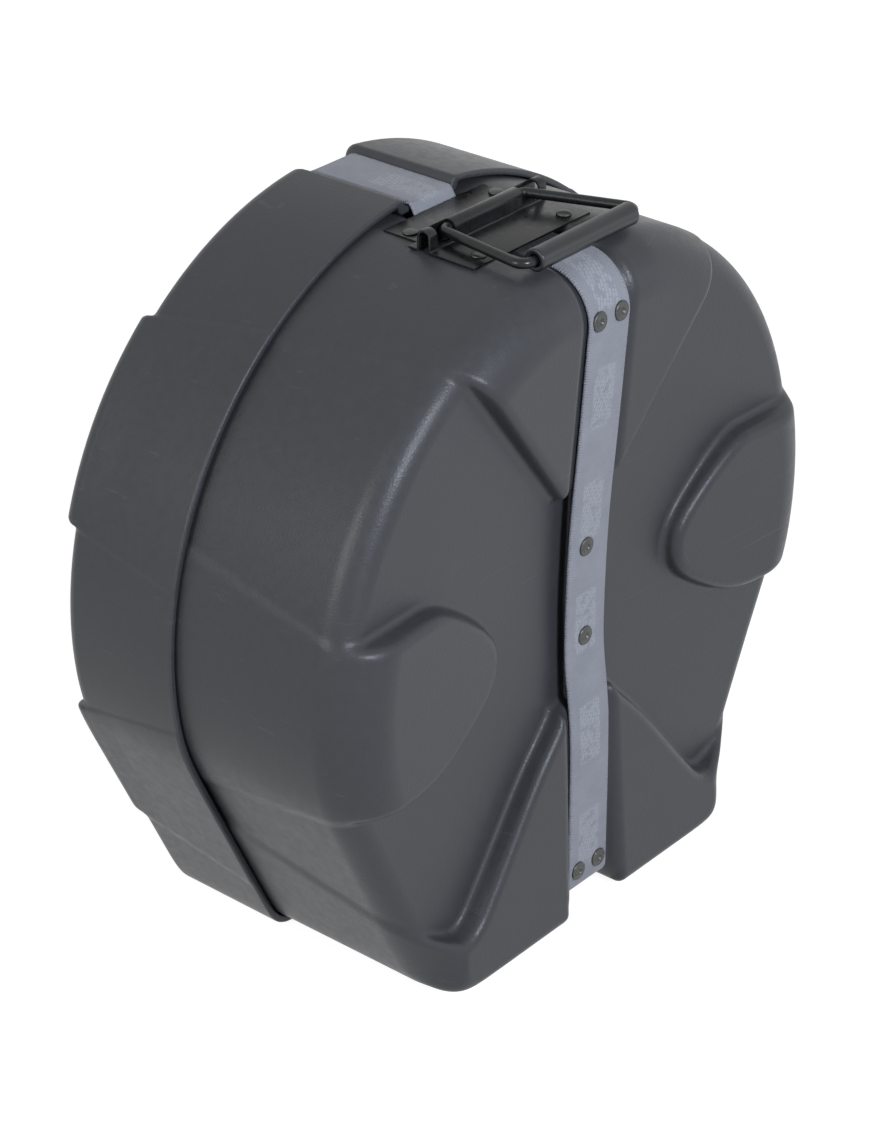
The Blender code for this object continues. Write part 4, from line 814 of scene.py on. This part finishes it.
def web_section():
    """Points round the web's section, as across and outward."""
    face = np.linspace(-STRAP_HALF + WEB_ROUND, STRAP_HALF - WEB_ROUND, WEB_COLUMNS)
    outer = [(x, STRAP_THICKNESS + (WEB_RIB if abs(x) > SELVAGE else 0.0)) for x in face]
    inner = [(x, 0.0) for x in face[::-1]]
    side = [(STRAP_HALF, STRAP_THICKNESS - WEB_ROUND), (STRAP_HALF, WEB_ROUND)]
    return outer + side + inner + [(-x, y) for x, y in reversed(side)]


def add_web(name, path, body, node):
    """A strap along a path of depth and height; its inner face lies on the path."""
    spots, travel, marks = evenly(path, WEB_STEP)
    section = web_section()
    points = []
    places = []
    for (depth, height), (along_depth, along_height), mark in zip(spots, travel, marks):
        for x, rise in section:
            ripple = 0.0
            if abs(x) == STRAP_HALF:
                ripple = RIPPLE_DEPTH * math.sin(mark * 2 * math.pi / RIPPLE_PITCH)
            points.append((
                x + math.copysign(ripple, x),
                y_of(depth + along_height * rise),
                height - along_depth * rise,
            ))
            places.append((x, mark))
    piece = new_piece(name, points, ring_faces(len(spots), len(section)))
    layer = piece.data.uv_layers.new(name="web")
    for loop in piece.data.loops:
        layer.data[loop.index].uv = places[loop.vertex_index]
    return dress(piece, WEB, body, "webbing", node)


def outset(path, distance):
    """An open path of depth and height, moved to the right of its travel."""
    points = np.array(path)
    travel = np.gradient(points, axis=0)
    travel /= np.linalg.norm(travel, axis=1)[:, None]
    return points + np.stack([travel[:, 1], -travel[:, 0]], axis=1) * distance


def add_webs():
    """The front web and the two rear webs that meet at the buckle."""
    route = [(STRAP_SPLIT_DEPTH, BASE_CHANNEL_TOP)] + base_path()
    route.append((STRAP_SPLIT_DEPTH / 2, BASE_CHANNEL_BOTTOM))
    front = [tuple(point) for point in outset(route, GAP)]
    front.append((STRAP_RAMP_DEPTH, LID_CHANNEL_BOTTOM - GAP))
    add_web("strap_front_web", front, "base", "strap_front")
    loop = lid_path(LID_RIM_DEPTH)
    half = len(loop) // 2
    lower = [(STRAP_RAMP_DEPTH + GAP, LID_CHANNEL_BOTTOM)] + loop[1:half]
    web_depth = lower[-1][0]
    lower.append((web_depth, PLUG_BOTTOM + WEB_SOCKET_LENGTH))
    upper = [(web_depth, SOCKET_TOP - WEB_SOCKET_LENGTH)] + loop[half:-1]
    upper.append((LID_RIM_DEPTH - GAP, loop[-1][1]))
    top = [tuple(point) for point in outset(upper, GAP)]
    top.append((STRAP_EXIT_DEPTH, BASE_CHANNEL_TOP + GAP + STRAP_EXIT_RISE))
    top.append((STRAP_RAMP_DEPTH, BASE_CHANNEL_TOP + GAP))
    top.append((STRAP_SPLIT_DEPTH + GAP, BASE_CHANNEL_TOP + GAP))
    add_web("strap_rear_lower_web", outset(lower, GAP), "lid", "strap_rear_lower")
    add_web("strap_rear_upper_web", top, "lid", "strap_rear_upper")


def turned(name, profile, sides, spot, outward, material, body, slot, *nodes, closed=False):
    """A turned piece: radius and height pairs about an axis through a spot."""
    turn = Vector(outward).to_track_quat("Z", "Y").to_matrix()
    points = []
    for radius, height in profile:
        for index in range(sides):
            angle = 2 * math.pi * index / sides
            local = Vector((radius * math.cos(angle), radius * math.sin(angle), height))
            points.append(Vector(spot) + turn @ local)
    piece = new_piece(name, points, ring_faces(len(profile), sides, closed))
    return dress(piece, material, body, slot, *nodes)


def floor_frame(height):
    """Point of the base's channel floor at a height, and the outward direction there."""
    path = base_path()
    for (upper_depth, upper), (lower_depth, lower) in zip(path, path[1:]):
        if lower <= height <= upper:
            share = (upper - height) / (upper - lower)
            travel = Vector((lower_depth - upper_depth, lower - upper)).normalized()
            return upper_depth + (lower_depth - upper_depth) * share, Vector((0.0, travel.y, -travel.x))
    raise ValueError(f"no channel floor at height {height}")


def add_strap_rivets():
    """Rivets with a flat rim, a low dome and a dimple."""
    tall = RIVET_HEAD_HEIGHT
    profile = [(PIN_RADIUS, tall * RIVET_MIDDLE_SHARE)]
    profile += [(radius, tall * share) for radius, share in RIVET_FACE]
    profile += [
        (RIVET_HEAD_RADIUS, tall * RIVET_RIM_SHARE), (RIVET_HEAD_RADIUS, 0.0),
        (RIVET_SHANK_RADIUS, 0.0), (RIVET_SHANK_RADIUS, -WALL), (PIN_RADIUS, -WALL),
    ]
    for place, (x, height) in STRAP_RIVETS.items():
        depth, outward = floor_frame(height)
        spot = Vector((x, y_of(depth), height)) + outward * (STRAP_THICKNESS + GAP)
        node = f"strap_rivet_{place}"
        turned(f"{node}_head", profile, RIVET_SIDES, spot, outward, DARK_ZINC, "base", "dark_zinc", node)


def add_handle_rivets():
    """The handle's domed rivets."""
    radius = HANDLE_HEAD_RADIUS
    rise = HANDLE_HEAD_HEIGHT * (1.0 - HEAD_RIM_SHARE)
    rim = HANDLE_HEAD_HEIGHT * HEAD_RIM_SHARE
    dome = arc((0.0, 0.0), 1.0, 90.0, 0.0, 8)
    dome = [(max(radius * x, PIN_RADIUS), rim + rise * y) for x, y in dome]
    under = PLATEAU_HEIGHT - WALL - 3 * GAP - PLATE_THICKNESS
    seat = PLATEAU_HEIGHT + 2 * GAP + PLATE_THICKNESS
    tail = under - GAP - seat
    profile = dome + [
        (radius, 0.0), (RIVET_SHANK_RADIUS, 0.0), (RIVET_SHANK_RADIUS, tail), (TAIL_RADIUS, tail),
        (TAIL_RADIUS, tail - TAIL_HEIGHT * 0.7), (TAIL_RADIUS * 0.8, tail - TAIL_HEIGHT),
        (PIN_RADIUS, tail - TAIL_HEIGHT),
    ]
    for row, side in itertools.product(HANDLE_RIVET_DEPTHS, HANDLE_RIVET_X):
        spot = (HANDLE_RIVET_X[side], y_of(HANDLE_RIVET_DEPTHS[row]), seat)
        node = f"handle_rivet_{row}_{side}"
        turned(
            f"{node}_head", profile, HANDLE_RIVET_SIDES, spot, (0.0, 0.0, 1.0), DARK_ZINC, "base",
            "dark_zinc", node,
        )


def cut_box(piece, low, high):
    """Cut a box of x, depth and height out of a piece."""
    data = bmesh.new()
    bmesh.ops.create_cube(data, size=1.0)
    sizes = [top - bottom for bottom, top in zip(low, high)]
    middle = [(top + bottom) / 2 for bottom, top in zip(low, high)]
    bmesh.ops.scale(data, vec=sizes, verts=data.verts)
    bmesh.ops.translate(data, vec=(middle[0], y_of(middle[1]), middle[2]), verts=data.verts)
    mesh = bpy.data.meshes.new("cutter")
    data.to_mesh(mesh)
    data.free()
    cutter = bpy.data.objects.new("cutter", mesh)
    bpy.context.scene.collection.objects.link(cutter)
    modifier = piece.modifiers.new("cut", "BOOLEAN")
    modifier.operation = "DIFFERENCE"
    modifier.solver = "EXACT"
    modifier.object = cutter
    baked(piece)
    bpy.data.objects.remove(cutter, do_unlink=True)


def baked(piece):
    """Put a piece's modifiers into its mesh."""
    graph = bpy.context.evaluated_depsgraph_get()
    mesh = bpy.data.meshes.new_from_object(piece.evaluated_get(graph))
    piece.modifiers.clear()
    piece.data = mesh


def add_plate():
    """The handle plate: a sheet with an arch over the wire, windows and clipped corners."""
    under = PLATEAU_HEIGHT + GAP
    over = under + PLATE_THICKNESS
    root = PLATE_ROOT
    rear = BARREL_DEPTH + ARCH_RADIUS
    front = BARREL_DEPTH - ARCH_RADIUS
    barrel = (BARREL_DEPTH, BARREL_HEIGHT)
    inner = [(PLATE_REAR_DEPTH, under), (rear + root, under), (rear, under + root)]
    inner += arc(barrel, ARCH_RADIUS, 0.0, 180.0, 20)
    inner += [(front, under + root), (front - root, under), (PLATE_FRONT_DEPTH, under)]
    outer = [(PLATE_REAR_DEPTH, over)]
    outer += arc((rear + PLATE_THICKNESS + root, over + root), root, 270.0, 180.0, 5)
    outer += arc(barrel, ARCH_RADIUS + PLATE_THICKNESS, 0.0, 180.0, 24)
    outer += arc((front - PLATE_THICKNESS - root, over + root), root, 0.0, -90.0, 5)
    outer += [(PLATE_FRONT_DEPTH, over)]
    section = inner + outer[::-1]
    ends = (PLATE_CENTRE_X - PLATE_HALF_WIDTH, PLATE_CENTRE_X + PLATE_HALF_WIDTH)
    points = [(x, y_of(depth), height) for x in ends for depth, height in section]
    plate = new_piece("handle_plate_sheet", points, ring_faces(len(ends), len(section)))
    for side in (-1.0, 1.0):
        near_x, far_x = sorted(PLATE_CENTRE_X + side * x for x in WINDOW_X)
        low = (near_x, WINDOW_DEPTH[0], WINDOW_HEIGHT[0])
        cut_box(plate, low, (far_x, WINDOW_DEPTH[1], WINDOW_HEIGHT[1]))
        corner = (PLATE_HALF_WIDTH - PLATE_CORNER_WIDTH, PLATE_HALF_WIDTH + WALL)
        near_x, far_x = sorted(PLATE_CENTRE_X + side * x for x in corner)
        low = (near_x, PLATE_CORNER_DEPTH, under - WALL)
        cut_box(plate, low, (far_x, PLATE_REAR_DEPTH + WALL, WINDOW_HEIGHT[0]))
    bevel = plate.modifiers.new("edges", "BEVEL")
    bevel.width = PLATE_EDGE
    bevel.segments = 2
    bevel.limit_method = "ANGLE"
    bevel.angle_limit = PLATE_EDGE_ANGLE
    baked(plate)
    plate.data.shade_smooth()
    plate.data.set_sharp_from_angle(angle=PLATE_SHARP_ANGLE)
    dress(plate, STEEL, "base", "black_steel", "handle_plate")


def filleted(corners, radii, steps):
    """A closed outline with each corner swept by an arc."""
    points = []
    count = len(corners)
    for index, radius in enumerate(radii):
        here = Vector(corners[index])
        before = (Vector(corners[index - 1]) - here).normalized()
        after = (Vector(corners[(index + 1) % count]) - here).normalized()
        half_angle = before.angle(after) / 2
        middle = here + (before + after).normalized() * (radius / math.sin(half_angle))
        start = here + before * (radius / math.tan(half_angle)) - middle
        stop = here + after * (radius / math.tan(half_angle)) - middle
        for step in range(steps + 1):
            points.append(middle + start.lerp(stop, step / steps).normalized() * radius)
    return points


def add_bail():
    """The wire bail."""
    forward = GRIP_DEPTH - BARREL_DEPTH
    corners = [
        (BAIL_BARREL_HALF, 0.0), (-BAIL_BARREL_HALF, 0.0),
        (GRIP_SKEW - BAIL_GRIP_HALF, forward), (GRIP_SKEW + BAIL_GRIP_HALF, forward),
    ]
    radii = (BAIL_BARREL_BEND, BAIL_BARREL_BEND, BAIL_GRIP_BEND, BAIL_GRIP_BEND)
    outline = filleted(corners, radii, BEND_STEPS)
    count = len(outline)
    points = []
    for index, here in enumerate(outline):
        travel = (outline[(index + 1) % count] - outline[index - 1]).normalized()
        across = Vector((travel.y, -travel.x))
        for side in range(BAIL_SIDES):
            angle = 2 * math.pi * side / BAIL_SIDES
            spot = here + across * (WIRE_RADIUS * math.cos(angle))
            height = BARREL_HEIGHT + WIRE_RADIUS * math.sin(angle)
            points.append((PLATE_CENTRE_X + spot.x, y_of(BARREL_DEPTH) + spot.y, height))
    faces = ring_faces(count, BAIL_SIDES, closed=True)
    dress(new_piece("handle_bail_wire", points, faces), STEEL, "bail", "black_steel", "handle_bail")


def add_grip():
    """The thick rubber grip on the bail's long side."""
    bore = WIRE_RADIUS + GAP
    end = GRIP_HALF_LENGTH
    edge = GRIP_EDGE
    mouth = [(bore, end - GRIP_BORE_LENGTH), (bore + GRIP_FLARE, end - GRIP_MOUTH)]
    mouth.append((bore + 2 * GRIP_FLARE, end))
    profile = mouth + arc((GRIP_RADIUS - edge, end - edge), edge, 90.0, 0.0, 5)
    for share in np.linspace(0.9, -0.9, 13).tolist():
        swell = GRIP_SWELL * math.sin(GRIP_SWELLS * share)
        profile.append((GRIP_RADIUS - GRIP_WAIST + swell, end * share))
    profile += arc((GRIP_RADIUS - edge, edge - end), edge, 0.0, -90.0, 5)
    profile += [(radius, -height) for radius, height in reversed(mouth)]
    spot = (PLATE_CENTRE_X + GRIP_SKEW, y_of(GRIP_DEPTH), BARREL_HEIGHT)
    turned(
        "handle_grip_sleeve", profile, GRIP_SIDES, spot, (1.0, 0.0, 0.0), RUBBER, "bail", "rubber_grip",
        "handle_grip", closed=True,
    )


def base_foam(x, depth, height):
    """Negative inside the base's foam disc."""
    roof = PLATEAU_HEIGHT - AXIS_HEIGHT - WALL - FOAM_DISC_INSET
    edge, _ = reach(x, height, BASE_INSET + WALL + FOAM_DISC_INSET, roof)
    near = SUNK_CENTRE_DEPTH + WALL + 2 * GAP
    field = np.hypot(x, height - AXIS_HEIGHT) - edge
    level = np.maximum(near - depth, depth - near - BASE_FOAM_THICKNESS)
    field = smooth_max(field, level, FOAM_EDGE)
    for place in ("middle_upper", "middle_lower"):
        hole_x, hole_height = STRAP_RIVETS[place]
        hole = FOAM_RIVET_HOLE - np.hypot(x - hole_x, height - hole_height)
        field = smooth_max(field, hole, FOAM_EDGE / 2)
    return field


def lid_foam(x, depth, height):
    """Negative inside the lid's foam disc."""
    field, _, _ = lid_body(x, depth, height, WALL + LID_FOAM_INSET)
    field = smooth_max(field, BASE_RIM_DEPTH + GAP - depth, FOAM_EDGE)
    wall = WALL + 4 * GAP
    field = smooth_max(field, channel_field(x, depth, height, LID_BLOCK, wall), FOAM_EDGE)
    return smooth_max(field, pocket_field(x, depth, height, wall), FOAM_EDGE)


def cradle(start, stop):
    """The field of one foam block between two angles, in degrees."""
    middle = math.radians((start + stop) / 2)
    half = math.radians((stop - start) / 2)

    def field(x, depth, height):
        radius = np.hypot(x, height - AXIS_HEIGHT)
        edge, _ = reach(x, height, BASE_INSET + WALL + CRADLE_GAP)
        angle = np.arctan2(height - AXIS_HEIGHT, x)
        off = np.abs((angle - middle + math.pi) % (2 * math.pi) - math.pi)
        room = smooth_max(radius - edge, DRUM_RADIUS - radius, FOAM_EDGE)
        length = np.maximum(CRADLE_DEPTHS[0] - depth, depth - CRADLE_DEPTHS[1])
        ends = np.maximum((off - half) * DRUM_RADIUS, length)
        return smooth_max(room, ends, FOAM_EDGE)

    return field


def add_foam():
    """Foam discs and cradle blocks."""
    for body, field in (("base", base_foam), ("lid", lid_foam)):
        near, far, top = FOAM_LEVELS[body]
        low = (-LID_RADIUS, near, 0.0)
        disc = moulded(f"{body}_foam_pad", field, low, (LID_RADIUS, far, top), FOAM_CELL)
        dress(disc, FOAM, body, "foam", f"{body}_foam_disc")
    for word, (start, stop) in CRADLES.items():
        angles = np.radians(np.linspace(start, stop, 9))
        across = np.outer(CRADLE_REACH_X, np.cos(angles))
        upward = np.outer(CRADLE_REACH_HEIGHT, np.sin(angles)) + AXIS_HEIGHT
        low = (across.min(), CRADLE_DEPTHS[0] - CRADLE_MARGIN, upward.min())
        high = (across.max(), CRADLE_DEPTHS[1] + CRADLE_MARGIN, upward.max())
        block = moulded(f"foam_cradle_{word}_pad", cradle(start, stop), low, high, FOAM_CELL)
        dress(block, FOAM, "base", "foam", f"foam_cradle_{word}")


def finish_solids():
    """Give the solids that stay their materials."""
    kept = {"buckle": ACETAL, "strap_keeper": ACETAL}
    kept.update({"rivet_washer": BRIGHT_ZINC, "handle_backing": BRIGHT_ZINC})
    for name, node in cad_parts.items():
        for start, material in kept.items():
            if name.startswith(start):
                node.material_slots[0].material = material


add_shells()
add_webs()
add_strap_rivets()
add_handle_rivets()
add_plate()
add_bail()
add_grip()
add_foam()
finish_solids()

# Camera
VIEW_TURN = math.radians(-50.08)
VIEW_LIFT = math.radians(29.06)
VIEW_ROLL = math.radians(0.165)
VIEW_TARGET = Vector((-0.15596, -0.11321, 0.3174))
VIEW_DISTANCE = 1.872
VIEW_LENS = 105.66
SENSOR = 36.0

# Light
HORIZON_LEVEL = 0.33
ZENITH_LEVEL = 0.03
FLOOR_GLOW = 0.93
FLOOR_COLOUR = (0.25, 0.25, 0.25)
FLOOR_HALF = 4.0
WHITE = (1.0, 1.0, 1.0)
LAMPS = {
    "left_box": ((-2.3, 0.4, 1.2), 1.1, 22.0, WHITE),
    "front_box": ((-0.60, -2.05, 1.45), 0.6, 46.0, (0.82, 0.88, 1.0)),
    "right_box": ((1.6, -1.9, 0.8), 1.2, 3.0, (0.84, 0.90, 1.0)),
}


def add_camera():
    """The camera."""
    back = Vector((
        math.sin(VIEW_TURN) * math.cos(VIEW_LIFT),
        -math.cos(VIEW_TURN) * math.cos(VIEW_LIFT),
        math.sin(VIEW_LIFT),
    ))
    right = Vector((math.cos(VIEW_TURN), math.sin(VIEW_TURN), 0.0))
    up = back.cross(right)
    tilted = right * math.cos(VIEW_ROLL) + up * math.sin(VIEW_ROLL)
    upright = up * math.cos(VIEW_ROLL) - right * math.sin(VIEW_ROLL)
    camera = bpy.data.objects.new("camera", bpy.data.cameras.new("camera"))
    bpy.context.scene.collection.objects.link(camera)
    place = Matrix((tilted, upright, back)).transposed().to_4x4()
    place.translation = VIEW_TARGET + back * VIEW_DISTANCE
    camera.matrix_world = place
    camera.data.sensor_fit = "VERTICAL"
    camera.data.sensor_height = SENSOR
    camera.data.lens = VIEW_LENS
    bpy.context.scene.camera = camera


def seen_directly(tree):
    """1 where a camera, glossy or transmission ray looks, as a socket."""
    path = tree.nodes.new("ShaderNodeLightPath")
    seen = path.outputs["Is Camera Ray"]
    for key in ("Is Glossy Ray", "Is Transmission Ray"):
        node = tree.nodes.new("ShaderNodeMath")
        node.operation = "MAXIMUM"
        tree.links.new(seen, node.inputs[0])
        tree.links.new(path.outputs[key], node.inputs[1])
        seen = node.outputs["Value"]
    return seen


def add_light():
    """White surroundings, a white floor and three soft boxes."""
    world = bpy.data.worlds.new("studio")
    world.use_nodes = True
    tree = world.node_tree
    background = tree.nodes["Background"]
    background.inputs["Color"].default_value = (*WHITE, 1.0)
    split = tree.nodes.new("ShaderNodeSeparateXYZ")
    tree.links.new(tree.nodes.new("ShaderNodeTexCoord").outputs["Generated"], split.inputs["Vector"])
    sky = tree.nodes.new("ShaderNodeMapRange")
    sky.inputs["To Min"].default_value = HORIZON_LEVEL
    sky.inputs["To Max"].default_value = ZENITH_LEVEL
    tree.links.new(split.outputs["Z"], sky.inputs["Value"])
    level = tree.nodes.new("ShaderNodeMapRange")
    tree.links.new(sky.outputs["Result"], level.inputs["To Min"])
    tree.links.new(seen_directly(tree), level.inputs["Value"])
    tree.links.new(level.outputs["Result"], background.inputs["Strength"])
    bpy.context.scene.world = world

    half = FLOOR_HALF
    corners = [(-half, -half, 0.0), (half, -half, 0.0), (half, half, 0.0), (-half, half, 0.0)]
    ground = new_piece("floor", corners, [(0, 1, 2, 3)])
    look = Look("white_floor")
    shader = look.shader
    shader.inputs["Base Color"].default_value = (*FLOOR_COLOUR, 1.0)
    shader.inputs["Roughness"].default_value = 1.0
    shader.inputs["Emission Color"].default_value = (*WHITE, 1.0)
    glow = look.math("MULTIPLY", seen_directly(look.material.node_tree), FLOOR_GLOW)
    look.put(shader.inputs["Emission Strength"], glow)
    ground.data.materials.append(look.material)

    middle = Vector((0.0, 0.0, AXIS_HEIGHT))
    for name, (spot, size, watts, colour) in LAMPS.items():
        lamp = bpy.data.lights.new(name, "AREA")
        lamp.shape = "DISK"
        lamp.size = size
        lamp.energy = watts
        lamp.color = colour
        holder = bpy.data.objects.new(name, lamp)
        holder.location = spot
        holder.rotation_euler = (Vector(spot) - middle).to_track_quat("Z", "Y").to_euler()
        bpy.context.scene.collection.objects.link(holder)


add_camera()
add_light()
bpy.context.scene.view_settings.view_transform = "Standard"
